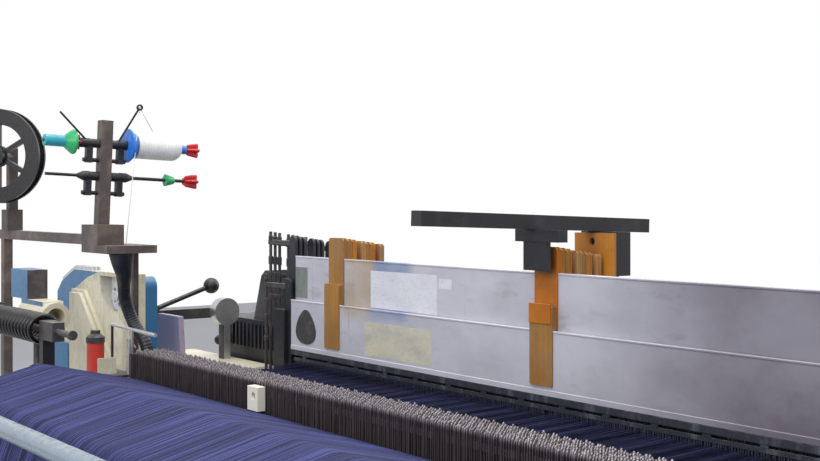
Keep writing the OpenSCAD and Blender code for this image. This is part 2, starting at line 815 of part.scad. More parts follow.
// Yarns between the droppers and the cloth, in bands that pass between the healds
yarn_w = 20;
yarn_start = row_y(dropper_rows - 1) + dropper_t / 2;
module yarn_band(k) {
  i = 1 + (k % heald_frames + heald_frames) % heald_frames;
  x = k * heald_step;
  along_x(x - yarn_w / 2, yarn_w)
    polygon([
      [yarn_start, dropper_z], [frame_y(i), eye_z(i)], [fell_y, fell_z],
      [fell_y, fell_z + sheet_t], [frame_y(i), eye_z(i) + sheet_t], [yarn_start, dropper_z + sheet_t]
    ]);
}
module shed_yarns() {
  color([0.1, 0.11, 0.26])
    for (k = [-heald_pairs + 1 : heald_pairs - 1])
      yarn_band(k);
}

// Guide for the middle of the heald frames
arm_x = -4;
arm_start = -17;
arm_len = 724;
arm_z = 1487;
arm_h = 34;
arm_w = 36;
arm_fall = 1.92;
arm_bolt_in = 42;
head_lo = [-45, 525];
head_hi = [58, 590];
head_low = 1344;
blade_x = 18;
blade_t = 8;
blade_y = [545, 588];
pad_lo = [-33, 322];
pad_hi = [43, 338];
pad_low = 1363;
neck_lo = [-55, 316];
neck_hi = [90, 346];
neck_low = 1430;
plate_t = 8;
plate_over = 14;
plate_hole_z = 1427;
function arm_under(y) = arm_z - arm_h / 2 / cos(arm_fall) - (y - arm_start) * tan(arm_fall);
module centre_arm() {
  color([0.08, 0.08, 0.09])
    translate([arm_x - arm_w / 2, arm_start, arm_z])
      rotate([-arm_fall, 0, 0])
        difference() {
          translate([0, 0, -arm_h / 2])
            cube([arm_w, arm_len, arm_h]);
          for (y = [arm_bolt_in, arm_len - arm_bolt_in])
            translate([arm_w / 2, y, -arm_h])
              cylinder(r = 7, h = 2 * arm_h);
        }
}
// Upright block whose top lies against the sloping arm
module under_arm(lo, hi, low) {
  along_x(lo[0], hi[0] - lo[0])
    polygon([[lo[1], low], [hi[1], low], [hi[1], arm_under(hi[1])], [lo[1], arm_under(lo[1])]]);
}
module centre_stand() {
  color([0.1, 0.1, 0.11]) {
    // Thin blade that stands between the yarns, on the middle cross tube
    block([blade_x - blade_t / 2, blade_y[0], cross_places[1][1] + cross_w], [blade_x + blade_t / 2, blade_y[1], head_low]);
    under_arm(head_lo, head_hi, head_low);
  }
}
module centre_pads() {
  // Pad that hangs in front of the frames, from a wider neck
  color([0.1, 0.1, 0.11]) {
    block([pad_lo[0], pad_lo[1], pad_low], [pad_hi[0], pad_hi[1], neck_low]);
    under_arm(neck_lo, neck_hi, neck_low);
  }
  // Orange plate on the far head
  color([0.9, 0.55, 0.1])
    difference() {
      block([head_lo[0] - plate_over, head_lo[1] - plate_t, head_low], [head_hi[0] + plate_over, head_lo[1], arm_under(head_lo[1]) - 4]);
      bar_y(9, head_lo[1] - plate_t - 1, plate_t + 2, 0, plate_hole_z);
    }
}

// Sley and reed
sley_half = warp_half + 30;
sley_x = [-900, -300, 300, 900];
sword_t = 22;
sley_z0 = sley_top - 60;
module sley() {
  color([0.6, 0.62, 0.64]) {
    // Rocking shaft
    bar_x(sley_shaft_r, -side_out - rib_t, 2 * (side_out + rib_t), sley_y, sley_z);
    // Beam with a nose under the reed and a groove along its front
    along_x(-sley_half, 2 * sley_half)
      difference() {
        polygon([
          [reed_y - 6, sley_top], [reed_y - 6, sley_z0], [reed_y + sley_depth, sley_z0],
          [reed_y + sley_depth, sley_top - 22], [reed_y + 30, sley_top]
        ]);
        translate([reed_y + sley_depth - 12, sley_z0 + 12])
          square([13, 12]);
      }
    for (x = sley_x)
      difference() {
        along_x(x - sword_t / 2, sword_t)
          polygon([
            [sley_y - 34, sley_z + 10], [reed_y, sley_z0], [reed_y + 60, sley_z0],
            [sley_y + 40, sley_z - 20], [sley_y, sley_z - 46], [sley_y - 34, sley_z - 20]
          ]);
        bar_x(sley_shaft_r, x - sword_t, 2 * sword_t, sley_y, sley_z);
      }
  }
}
reed_t = 8;
reed_bar = 13;
module reed() {
  half = (heald_pairs - 0.5) * heald_step;
  color([0.7, 0.71, 0.73])
    along_y(reed_y, reed_t)
      difference() {
        translate([-half - 10, sley_top])
          square([2 * half + 20, reed_h]);
        for (k = [-heald_pairs + 1 : heald_pairs - 1])
          translate([k * heald_step - dent_gap / 2, sley_top + reed_bar])
            square([dent_gap, reed_h - 2 * reed_bar]);
      }
}

// Cloth side
module breast_beam() {
  color([0.6, 0.62, 0.64]) {
    bar_x(breast_r, -side_in, 2 * side_in, breast_y, breast_z);
    // Web under the tube, ending on the side frames
    block([-side_in, breast_y - 16, takeup_z + takeup_r + 12], [side_in, breast_y + 16, breast_z]);
    both_ends()
      difference() {
        block([side_in, frame_front - 150, deck_z - 240], [side_in + press_stub, breast_y + 36, breast_z]);
        bar_x(stub_r + run_clear, side_in - 1, press_stub + 2, takeup_y, takeup_z);
        along_x(side_in - 1, press_stub + 2)
          polygon(side_outline);
      }
  }
}
cloth_path = [
  [fell_y, fell_z, 0], [breast_y, breast_z, breast_r + sheet_gap],
  [takeup_y, takeup_z, takeup_r + sheet_gap], [press_y, press_z, -press_r - sheet_gap - sheet_t],
  [cloth_roll_y, cloth_roll_z, -cloth_roll_r - sheet_gap - sheet_t]
];
module cloth_sheet() {
  color([0.2, 0.24, 0.38])
    along_x(-warp_half, warp_w)
      band(cloth_path, sheet_t);
}
cloth_half = warp_half + 12;
module geared_roller(r, y, z) {
  bar_x(r, -cloth_half, 2 * cloth_half, y, z);
  bar_x(stub_r, -side_in - press_stub + 1, 2 * (side_in + press_stub - 1), y, z);
}
module take_up_roller() {
  color([0.3, 0.32, 0.33])
    geared_roller(takeup_r, takeup_y, takeup_z);
}
module press_roller() {
  color([0.2, 0.2, 0.22])
    geared_roller(press_r, press_y, press_z);
}
module cloth_roll() {
  color([0.14, 0.17, 0.32]) {
    bar_x(cloth_roll_r, -warp_half, warp_w, cloth_roll_y, cloth_roll_z, $fn = 96);
    bar_x(cloth_core_r, -warp_half - 40, warp_w + 80, cloth_roll_y, cloth_roll_z);
    bar_x(stub_r, -side_out - rib_t, 2 * (side_out + rib_t), cloth_roll_y, cloth_roll_z);
  }
}

// End housings

drive_y = -50;
casting_d = 54;
casting_in = drive_in + 100;
casting_front = drive_y + casting_d;
rear_cover_d = 40;
web_front = casting_front + rear_cover_d;
table_z = 985;
table_front = 440;
// Outer slope of a drive casting: points beyond its outer end and below its top
drive_slope = [[drive_flare, 370], [-8, 202], [-40, 171], [-58, 112], [-84, 69], [-200, 24], [-300, 0]];
module drive_outline(inner, top) {
  polygon(concat(
    [[inner, 0], [drive_out + drive_flare, 0]],
    [for (p = drive_slope) [drive_out + p[0], top - p[1]]],
    [[inner, top]]));
}
// Half-round hollow under the top of the left casting
arch_x = -drive_in - 220;
arch_bridge = 14;
arch_z = drive_h - arch_bridge;
arch_r = 108;
arch_deep = 40;
module arch_shape() {
  translate([arch_x, arch_z])
    difference() {
      circle(arch_r);
      translate([-arch_r - 1, 0])
        square([2 * arch_r + 2, arch_r + 1]);
    }
}
// Tapered rib on the left casting: points from the outer end and below the top
rib_foot = 520;
rib_points = [[102, 77], [188, 77], [402, 279], [440, 315]];
rib_proud = 24;
rib_step = 12;
module rib_shape(grow) {
  polygon(concat(
    [[-drive_out + rib_points[0][0] - grow, rib_foot]],
    [for (k = [0 : 2]) [-drive_out + rib_points[k][0] + (k == 0 ? -grow : grow), drive_h - rib_points[k][1] + grow]],
    [[-drive_out + rib_points[3][0] + grow, drive_h - rib_points[3][1]], [-drive_out + rib_points[3][0] + grow, rib_foot]]));
}
// Drive disc on its axle in that hollow
disc_x = arch_x + 10;
disc_z = drive_h - 72;
disc_back = drive_y + 24;
disc_t = 14;
disc_hub_r = 16;
disc_hub = 8;
disc_axle_r = 10;
module left_drive_housing() {
  color([0.86, 0.82, 0.68])
    difference() {
      union() {
        mirror([1, 0, 0])
          along_y(drive_y, casting_d)
            drive_outline(casting_in, drive_h);
        along_y(drive_y - rib_proud, rib_proud)
          rib_shape(0);
        along_y(drive_y - rib_step, rib_step)
          rib_shape(10);
        // Web behind the casting and the table that it carries
        block([-drive_out - drive_flare, casting_front, 0], [-casting_in, web_front, deck_z]);
        block([-drive_out, web_front, 0], [-drive_in, table_front, table_z]);
      }
      along_y(drive_y - 1, arch_deep + 1)
        arch_shape();
      bar_y(disc_axle_r + run_clear, drive_y + arch_deep - 1, casting_d, disc_x, disc_z);
    }
}
// Blue cover behind the casting, slats on its slope, and a low plate
cover_top = drive_h - 10;
cover_corner = 34;
cover_left = drive_out + drive_flare + 150;
cover_bend = -drive_out - 50;
slat_right = -drive_out + 100;
slat_count = 3;
slat_pitch = 13;
slat_t = 5;
slat_h = 14;
low_plate = [[-drive_out - 130, deck_z + 20], [-drive_out + 51, deck_z + 166]];
module blue_covers() {
  color([0.1, 0.38, 0.6]) {
    along_y(casting_front, rear_cover_d) {
      polygon([
        [-casting_in, deck_z], [-casting_in, cover_top - cover_corner], [-casting_in - cover_corner, cover_top],
        [cover_bend, cover_top], [-cover_left + 40, cover_top - 48], [-cover_left, cover_top - 85], [-cover_left, deck_z]
      ]);
      translate([-casting_in - cover_corner, cover_top - cover_corner])
        circle(cover_corner);
    }
    for (k = [0 : slat_count - 1])
      along_y(casting_front + 4 + slat_pitch * k, slat_t)
        polygon([
          [slat_right, cover_top - lap], [cover_bend, cover_top - lap], [-cover_left + 40, cover_top - 48 - lap],
          [-cover_left + 40, cover_top - 48 + slat_h], [cover_bend, cover_top + slat_h], [slat_right, cover_top + slat_h]
        ]);
    along_y(drive_y - plate_t, plate_t)
      round_rect(low_plate[0], low_plate[1], 24);
  }
}
module drive_disc() {
  color([0.75, 0.75, 0.73]) {
    difference() {
      bar_y(disc_r, disc_back - disc_t, disc_t, disc_x, disc_z);
      for (k = [0 : 4])
        bar_y(disc_r / 6, disc_back - disc_t - 1, disc_t + 2,
              disc_x + disc_r * 0.62 * cos(72 * k), disc_z + disc_r * 0.62 * sin(72 * k));
    }
    bar_y(disc_hub_r, disc_back - disc_t - disc_hub, disc_hub, disc_x, disc_z);
    bar_y(disc_axle_r, disc_back, casting_front - 2 - disc_back, disc_x, disc_z);
  }
}
module right_drive_housing() {
  color([0.86, 0.82, 0.68]) {
    along_y(drive_y, drive_d)
      drive_outline(drive_in, right_drive_h);
    block([drive_in, drive_y + drive_d, 0], [drive_out, table_front, table_z]);
  }
}
// Closed housings of the rapier drives, in line with the sley
rapier_y = 664;
rapier_d = 180;
rapier_h = 1120;
rapier_slot = 90;
rapier_slot_h = 50;
// Outline points of a rapier housing: back from its outer end and below its top
rapier_outline = [[0, 360], [-60, 180], [-180, 60], [-330, 0]];
module rapier_housings() {
  color([0.86, 0.82, 0.68])
    both_ends()
      along_y(rapier_y, rapier_d)
        difference() {
          polygon(concat(
            [[drive_in, 0], [drive_out, 0]],
            [for (p = rapier_outline) [drive_out + p[0], rapier_h + -p[1]]],
            [[drive_in + 90, rapier_h - 40], [drive_in, rapier_h - 110]]));
          translate([drive_in - 1, sley_top - 10])
            square([rapier_slot, rapier_slot_h]);
        }
}

// Black shed drive housing beside the heald frames, with a finned box and a hand knob
shed_y = first_heald_y + 100;
shed_d = 200;
shed_in = drive_in + 19;
shed_w = 425;
shed_box_h = 120;
shed_head_h = 176;
// The head is level with the left housing, and the finned box hangs below it
shed_z = drive_h - shed_head_h - shed_box_h;
// Outline of the sloping head: points back from the inner side and above the finned box
shed_head = [[0, shed_head_h], [-150, 168], [-176, 148], [-225, 0]];
fin_count = 14;
fin_pitch = 26;
fin_t = 10;
fin_proud = 8;
knob_at = 44;
knob_z = shed_z + 36;
knob_out = 30;
knob_r = 17;
lift_box_z = 440;
lift_box_h = 300;
module shed_drive_housing() {
  color([0.06, 0.06, 0.07]) {
    // Foot box, finned box and sloping head
    block([-shed_in - shed_w + 30, shed_y + 10, 0], [-shed_in, shed_y + shed_d, shed_z]);
    block([-shed_in - shed_w, shed_y, shed_z], [-shed_in, shed_y + shed_d, shed_z + shed_box_h]);
    along_y(shed_y + 20, shed_d - 20)
      polygon(concat(
        [[-shed_in, shed_z + shed_box_h]],
        [for (p = shed_head) [-shed_in + p[0], shed_z + shed_box_h + p[1]]]));
    for (k = [0 : fin_count - 1])
      block([-shed_in - shed_w + 40 + fin_pitch * k, shed_y - fin_proud, shed_z + 26],
            [-shed_in - shed_w + 40 + fin_t + fin_pitch * k, shed_y, shed_z + shed_box_h - 14]);
    bar_y(10, shed_y - knob_out, knob_out, -shed_in - shed_w + knob_at, knob_z);
    translate([-shed_in - shed_w + knob_at, shed_y - knob_out, knob_z])
      sphere(knob_r);
    // Box that the lifting rods run in
    difference() {
      union() {
        block([-drive_in + 2, frame_y(1) - 22, lift_box_z], [-side_out - rib_t - 3, shed_y + 40, lift_box_z + lift_box_h]);
        block([-shed_in, shed_y + 10, lift_box_z], [-drive_in + 2, shed_y + 40, lift_box_z + lift_box_h]);
      }
      for (i = [1 : heald_frames])
        translate([-lift_x, frame_y(i), lift_box_z - 1])
          cylinder(r = lift_rod_r + guide_clear, h = lift_box_h + 2);
    }
  }
}

// Ball lever with its rod, on a stand behind the left housing
lever_x = -drive_in - 328;
lever_y = 139;
lever_z = 1166;
lever_r = 8;
lever_hub_r = 16;
lever_hub_w = 18;
ball_y = 351;
ball_z = 1237;
ball_r = 27;
lever_pin_r = 8;
lever_len = norm([ball_y - lever_y, ball_z - lever_z]);
lever_tilt = heading([ball_y - lever_y, ball_z - lever_z]);
module ball_lever() {
  color([0.2, 0.2, 0.22])
    difference() {
      union() {
        translate([lever_x, lever_y, lever_z])
          rotate([lever_tilt, 0, 0]) {
            rotate([-90, 0, 0])
              cylinder(r = lever_r, h = lever_len);
            translate([0, lever_len, 0])
              sphere(ball_r);
          }
        bar_x(lever_hub_r, lever_x - lever_hub_w / 2, lever_hub_w, lever_y, lever_z);
      }
      bar_x(lever_pin_r + run_clear, lever_x - lever_hub_w, 2 * lever_hub_w, lever_y, lever_z);
    }
}
fork_h = 62;
fork_out = 18;
fork_in = 10;
fork_back = 14;
fork_front = 12;
fork_base = 12;
cap_y = 397;
cap_z = 1147;
cap_r = 47;
cap_w = 40;
cap_post_half = 12;
lever_cover = [[26, 0], [219, 0], [198, 173], [48, 173]];
module lever_stand() {
  color([0.3, 0.3, 0.31]) {
    // Fork, pin and rod
    for (s = [-1, 1])
      block([lever_x + min(s * fork_in, s * fork_out), lever_y - fork_back, lever_z - fork_h],
            [lever_x + max(s * fork_in, s * fork_out), lever_y + fork_front, lever_z + fork_front]);
    bar_x(lever_pin_r, lever_x - fork_out, 2 * fork_out, lever_y, lever_z);
    block([lever_x - fork_out, lever_y - fork_back, lever_z - fork_h - fork_base],
          [lever_x + fork_out, lever_y + fork_front, lever_z - fork_h]);
    translate([lever_x, lever_y, table_z])
      cylinder(r = lever_r, h = lever_z - fork_h - fork_base - table_z);
    // Flat arm to the round cap and the cap's own foot
    block([lever_x - fork_out, lever_y + fork_front, lever_z - 40], [lever_x - fork_in, cap_y, lever_z - 6]);
    block([lever_x - fork_in, cap_y - cap_post_half, table_z], [lever_x - fork_in + cap_w, cap_y + cap_post_half, cap_z - 30]);
  }
  color([0.5, 0.5, 0.48])
    bar_x(cap_r, lever_x - fork_in, cap_w, cap_y, cap_z);
  // Cover beside the lever
  color([0.45, 0.42, 0.47])
    along_y(lever_y - 9, 18)
      polygon([for (p = lever_cover) [lever_x + p[0], table_z + p[1]]]);
}

// Control cabinet at the right end, with the display on its arm
cabinet_back = -300;
cabinet_front = 420;
display_arm = 100;
display_arm_t = 40;
display_w = 380;
display_t = 44;
display_h = 280;
module control_cabinet() {
  color([0.8, 0.8, 0.76]) {
    block([drive_out + drive_flare, cabinet_back, 0], [half_len, cabinet_front, cabinet_h]);
    block([drive_out + drive_flare, cabinet_front, cabinet_h - 200],
          [half_len, cabinet_front + display_arm, cabinet_h - 200 + display_arm_t]);
  }
  color([0.15, 0.16, 0.18])
    translate([half_len - display_w, cabinet_front + display_arm / 2, cabinet_h - 200 + display_arm_t])
      rotate([-12, 0, 0])
        cube([display_w, display_t, display_h]);
}

// Temples that hold the cloth's width, on a bar under the cloth
temple_y = 700;
temple_d = 36;
temple_bar_y = 780;
temple_bar_z = 900;
temple_bar_h = 30;
temple_in = warp_half - 90;
temple_gap = 4;
temple_t = 20;
temple_low = 28;
module temples() {
  color([0.5, 0.51, 0.53]) {
    block([-side_in, temple_bar_y, temple_bar_z], [side_in, temple_bar_y + temple_d, temple_bar_z + temple_bar_h]);
    both_ends() {
      block([warp_half + temple_gap, temple_y, temple_bar_z + temple_bar_h],
            [warp_half + temple_gap + temple_t, temple_bar_y + temple_d, fell_z + 6 + temple_t]);
      block([temple_in, temple_y, fell_z + 6], [warp_half + temple_gap, temple_y + temple_d, fell_z + 6 + temple_t]);
      block([temple_in, temple_y, fell_z - temple_low], [warp_half + temple_gap, temple_y + temple_d, fell_z - 3]);
    }
  }
}

// Creel for the selvedge yarns, on its own post at the left

creel_y = -210;
creel_bar_x = -side_out + 8;
creel_lean = 2.4;
post_x = -half_len + 128;
stay_x = -side_out + 10;
stay_y = -108;
stay_s = 16;
row_a = creel_top - 70;
row_b = row_a - spindle_gap;
clamp_left = 50;
clamp_right = 66;
clamp_half = 40;
clamp_low = 50;
clamp_high = 30;
plate_right = 134;
hose_plate_t = 22;
bar_s = 34;
spool_axis = [-0.673, 0.74];
spool_turn = atan2(-spool_axis[0], spool_axis[1]);
spool_x = -half_len + 240;
spool_y = -275;
spool_z = 1675;
axle_r = 10;
axle_out = 16;
axle_in = 90;
spool_post_x = spool_x + spool_axis[0] / spool_axis[1] * (creel_y - spool_y);
// Frame of a spindle row: its X runs along the spindle, towards the cloth
function lean_y(z) = creel_y + (z - creel_z - clamp_high) * tan(creel_lean);
module at_row(z) {
  translate([creel_bar_x, lean_y(z), z])
    rotate([0, creel_lean, 90])
      children();
}
module creel_bar() {
  translate([creel_bar_x, creel_y, creel_z + clamp_high])
    rotate([0, creel_lean, 90])
      translate([-bar_s / 2, -bar_s / 2, -2])
        cube([bar_s, bar_s, creel_top - creel_z - clamp_high]);
}
// Round bar between two points
module rod(r, a, b) {
  d = b - a;
  translate(a)
    rotate([0, acos(d[2] / norm(d)), atan2(d[1], d[0])])
      cylinder(r = r, h = norm(d));
}
// Shape turned round the spindle from a place along it
module turned(x) {
  translate([x, 0, 0])
    rotate([0, 90, 0])
      rotate_extrude()
        children();
}
row_a_end = -182;
row_b_end = -172;
spindle_tip = 300;
hub_half = 50;
hub_r = 13;
collar_r = 14;
clamp_x = 47;
clamp_w = 18;
clamp_drop = 56;
bolt_r = 6;
bolt_half = 64;
collar_out = -80;
module spindle_hub() {
  bar_x(hub_r, -hub_half, 2 * hub_half, 0, 0);
  for (s = [-1, 1])
    block([s * clamp_x - clamp_w / 2, -clamp_w / 2, -clamp_drop], [s * clamp_x + clamp_w / 2, clamp_w / 2, 0]);
  bar_x(bolt_r, -bolt_half, 2 * bolt_half, 0, bolt_r + 2 - clamp_drop);
}
module creel_spindles() {
  difference() {
    at_row(row_a) {
      bar_x(spindle_r, row_a_end, spindle_tip - row_a_end, 0, 0);
      spindle_hub();
      bar_x(collar_r, collar_out + 2, 30, 0, 0);
      bar_x(collar_r, clamp_x - 10, 28, 0, 0);
    }
    creel_bar();
  }
  difference() {
    at_row(row_b) {
      bar_x(end_r, row_b_end, -row_b_end - hub_half, 0, 0);
      bar_x(spindle_r, 0, spindle_tip, 0, 0);
      spindle_hub();
      turned(collar_out)
        polygon([[0, 0], [end_r + 1, 0], [collar_r, 19], [collar_r, 35], [0, 35]]);
      turned(clamp_x)
        polygon([[0, 0], [collar_r, 0], [collar_r, 21], [spindle_r + 1, 40], [0, 40]]);
    }
    creel_bar();
  }
}
guide_rod_r = 3;
guide_eye_r = 9;
guide_eye = [creel_bar_x + 44, creel_y + 98, creel_top + 37];
guide_far = [creel_bar_x + 44, creel_y - 139, creel_top + 14];
module guide_rods() {
  rod(guide_rod_r, [creel_bar_x + 4, lean_y(row_a) - 56, row_a + 9], guide_far);
  rod(guide_rod_r, [creel_bar_x + 6, lean_y(row_a) + 40, row_a + 8], guide_eye - [2, 3, 6]);
  difference() {
    bar_x(guide_eye_r, guide_eye[0] - 4, 8, guide_eye[1], guide_eye[2]);
    bar_x(guide_eye_r - 4, guide_eye[0] - 5, 10, guide_eye[1], guide_eye[2]);
  }
}
post_foot = 160;
spool_post_h = 30;
spool_foot_w = 60;
spool_foot_h = 70;
module creel_frame() {
  color([0.28, 0.27, 0.26]) {
    // Post on its foot, beam, clamp and leaning bar
    block([post_x - creel_s / 2, creel_y - creel_s / 2, 0], [post_x + creel_s / 2, creel_y + creel_s / 2, creel_z - creel_s]);
    block([post_x - post_foot / 2, creel_y - post_foot / 2, 0], [post_x + post_foot / 2, creel_y + post_foot / 2, 12]);
    block([-half_len, creel_y - creel_s / 2, creel_z - creel_s], [creel_bar_x - clamp_left, creel_y + creel_s / 2, creel_z]);
    block([creel_bar_x - clamp_left, creel_y - clamp_half, creel_z - clamp_low],
          [creel_bar_x + clamp_right, creel_y + clamp_half, creel_z + clamp_high]);
    creel_bar();
    // Plate that holds the hose, and a stay down to the dropper rails
    block([creel_bar_x - clamp_left, creel_y - clamp_half, creel_z - clamp_low],
          [creel_bar_x + plate_right, stay_y + stay_s / 2, creel_z - clamp_low + hose_plate_t]);
    block([stay_x - stay_s / 2, stay_y - stay_s / 2, deck_z + 14], [stay_x + stay_s / 2, stay_y + stay_s / 2, creel_z - clamp_low]);
    // Post and axle of the flanged spool
    block([spool_post_x - creel_s / 2, creel_y - creel_s / 2, creel_z],
          [spool_post_x + creel_s / 2, creel_y + creel_s / 2, spool_z + spool_post_h]);
    block([spool_post_x - spool_foot_w / 2, creel_y - 26, creel_z], [spool_post_x + spool_foot_w / 2, creel_y + 26, creel_z + spool_foot_h]);
    translate([spool_x, spool_y, spool_z])
      rotate([-90, 0, spool_turn])
        translate([0, 0, -spool_w / 2 - axle_out])
          cylinder(r = axle_r, h = spool_w / 2 + axle_out + axle_in);
  }
  color([0.12, 0.12, 0.13]) {
    creel_spindles();
    guide_rods();
  }
}

// Hose from the creel down to the droppers, held at both ends, with a wide boot at its top
hose_r = 19;
hose_sides = 10;
hose_x = -side_out + 100;
hose_end = [hose_x - 14, -104, 1092];
hose_route = [
  [hose_x, -190, creel_z - clamp_low], [hose_x, -188, 1350], [hose_x - 10, -178, 1318], [hose_x - 36, -166, 1284],
  [hose_x - 56, -156, 1248], [hose_x - 62, -142, 1212], [hose_x - 58, -130, 1178], [hose_x - 44, -119, 1150],
  [hose_x - 26, -111, 1130], [hose_x - 16, -106, 1112], hose_end
];
hose_boot = [17, 11, 4];
function hose_size(i) = hose_r + (i < len(hose_boot) ? hose_boot[i] : 0);
function unit(v) = v / norm(v);
function hose_dir(i) = i == 0 || i == len(hose_route) - 1 ? [0, 0, -1] : unit(hose_route[i + 1] - hose_route[i - 1]);
function hose_ring(i) = let (d = hose_dir(i), a = unit(cross(d, [0, 1, 0])), b = cross(d, a))
  [for (k = [0 : hose_sides - 1])
    hose_route[i] + hose_size(i) * (cos(360 * k / hose_sides) * a + sin(360 * k / hose_sides) * b)];
module suction_hose() {
  rings = len(hose_route);
  points = [for (i = [0 : rings - 1]) each hose_ring(i)];
  skin = [for (i = [0 : rings - 2]) for (k = [0 : hose_sides - 1])
    let (n = (k + 1) % hose_sides, p = hose_sides)
    [i * p + k, (i + 1) * p + k, (i + 1) * p + n, i * p + n]];
  caps = [[for (k = [0 : hose_sides - 1]) k],
          [for (k = [hose_sides - 1 : -1 : 0]) (rings - 1) * hose_sides + k]];
  color([0.05, 0.05, 0.1])
    polyhedron(points = points, faces = concat(skin, caps), convexity = 4);
}

// Tubes, flanges and the yarn on them, all slid on the two spindles
flange_x = 66;
flange_w = 27;
flange_big_r = 50;
cone_x = flange_x + flange_w;
cone_len = 141;
tube_end_r = 13;
tube_end = 23;
left_tube_x = -179;
left_tube = 60;
left_tube_r = 16.5;
left_cone_x = -121;
small_cone_x = 192;
small_cone = 29;
clip_r = 14;
clip_lobe_r = 7;
module yarn_packages() {
  at_row(row_a)
    difference() {
      union() {
        color([0.95, 0.95, 0.93])
          turned(cone_x)
            polygon([[0, 0], [cone_r - 3, 0], [cone_r, 5], [cone_r, cone_len - 22], [cone_r - 13, cone_len], [0, cone_len]]);
        color([0.1, 0.4, 0.85])
          turned(flange_x)
            polygon([[0, 0], [flange_big_r, 0], [flange_big_r, 7], [cone_r - 4, flange_w], [0, flange_w]]);
        color([0.1, 0.4, 0.85])
          turned(cone_x + cone_len)
            square([tube_end_r, tube_end]);
        color([0.15, 0.65, 0.7])
          turned(left_tube_x)
            square([left_tube_r, left_tube]);
        color([0.1, 0.65, 0.3])
          turned(left_cone_x)
            polygon([[0, 0], [17, 0], [35, 24], [35, 30], [0, 30]]);
      }
      bar_x(spindle_r, row_a_end - 1, spindle_tip - row_a_end + 2, 0, 0);
    }
  color([0.8, 0.08, 0.1])
    at_row(row_a) {
      star_clip(cone_x + cone_len + tube_end, 37);
      star_clip(collar_out - 8, 10);
    }
  at_row(row_b)
    difference() {
      color([0.1, 0.65, 0.3])
        turned(small_cone_x)
          polygon([[0, 0], [18, 0], [10, small_cone], [0, small_cone]]);
      bar_x(spindle_r, small_cone_x - 1, small_cone + 2, 0, 0);
    }
  color([0.8, 0.08, 0.1])
    at_row(row_b)
      star_clip(254, 40);
}
// Clip with lobes that holds a tube on its spindle
module star_clip(x, length) {
  along_x(x, length)
    difference() {
      union() {
        circle(clip_r);
        for (k = [0 : 4])
          rotate(72 * k)
            translate([clip_r, 0])
              circle(clip_lobe_r);
      }
      circle(spindle_r);
    }
}
spool_wall = 9;
spool_groove = 10;
spool_rim = 48;
spool_hub_r = 30;
spoke_count = 6;
spoke_w = 16;
spoke_t = 14;
module flanged_spool() {
  color([0.08, 0.08, 0.09])
    translate([spool_x, spool_y, spool_z])
      rotate([-90, 0, spool_turn])
        translate([0, 0, -spool_w / 2])
          difference() {
            rotate_extrude($fn = 72)
              polygon([
                [0, 0], [spool_hub_r, 0], [spool_hub_r, spool_w / 2 - spoke_t / 2], [spool_r - spool_rim, spool_w / 2 - spoke_t / 2],
                [spool_r - spool_rim, 0], [spool_r, 0], [spool_r, spool_wall], [spool_r - spool_groove, spool_wall],
                [spool_r - spool_groove, spool_w - spool_wall], [spool_r, spool_w - spool_wall], [spool_r, spool_w],
                [spool_r - spool_rim, spool_w], [spool_r - spool_rim, spool_w / 2 + spoke_t / 2],
                [spool_hub_r, spool_w / 2 + spoke_t / 2], [spool_hub_r, spool_w], [0, spool_w]
              ]);
            // Windows between the spokes
            translate([0, 0, -1])
              linear_extrude(spool_w + 2)
                difference() {
                  circle(spool_r - spool_rim - 4);
                  circle(spool_hub_r + 6);
                  for (k = [0 : spoke_count / 2 - 1])
                    rotate(360 / spoke_count * k)
                      translate([-spoke_w / 2, -spool_r])
                        square([spoke_w, 2 * spool_r]);
                }
            translate([0, 0, -1])
              cylinder(r = axle_r + run_clear, h = spool_w + 2);
          }
}

// Lubricator on a shelf of the side frame
can_x = -side_out - 36;
can_y = -210;
can_r = 25;
can_z = 1030;
can_h = 84;
shelf_t = 8;
shelf_right = -side_in + 34;
shelf_front = -138;
leg_w = 20;
tag = [[can_x + 67, can_y - 22, can_z], [can_x + 75, can_y + 32, can_z + 46]];
valve_r = 8;
valve_h = 100;
module lubricator() {
  color([0.3, 0.3, 0.3]) {
    block([can_x - 32, can_y - 30, can_z - shelf_t], [shelf_right, shelf_front, can_z]);
    block([-side_out - leg_w, can_y - 14, deck_z - 60], [-side_out, can_y + 14, can_z - shelf_t]);
  }
  color([0.8, 0.08, 0.06])
    translate([can_x, can_y, can_z])
      cylinder(r = can_r, h = can_h);
  color([0.1, 0.1, 0.11])
    translate([can_x, can_y, can_z + can_h])
      rotate_extrude()
        polygon([[0, 0], [can_r + 2, 0], [can_r + 2, 16], [14, 26], [14, 36], [0, 36]]);
  // Cream plate and a slim valve beside the can
  color([0.85, 0.82, 0.72])
    block(tag[0], tag[1]);
  color([0.5, 0.5, 0.5])
    translate([shelf_right - 14, shelf_front - 14, can_z])
      cylinder(r = valve_r, h = valve_h);
}

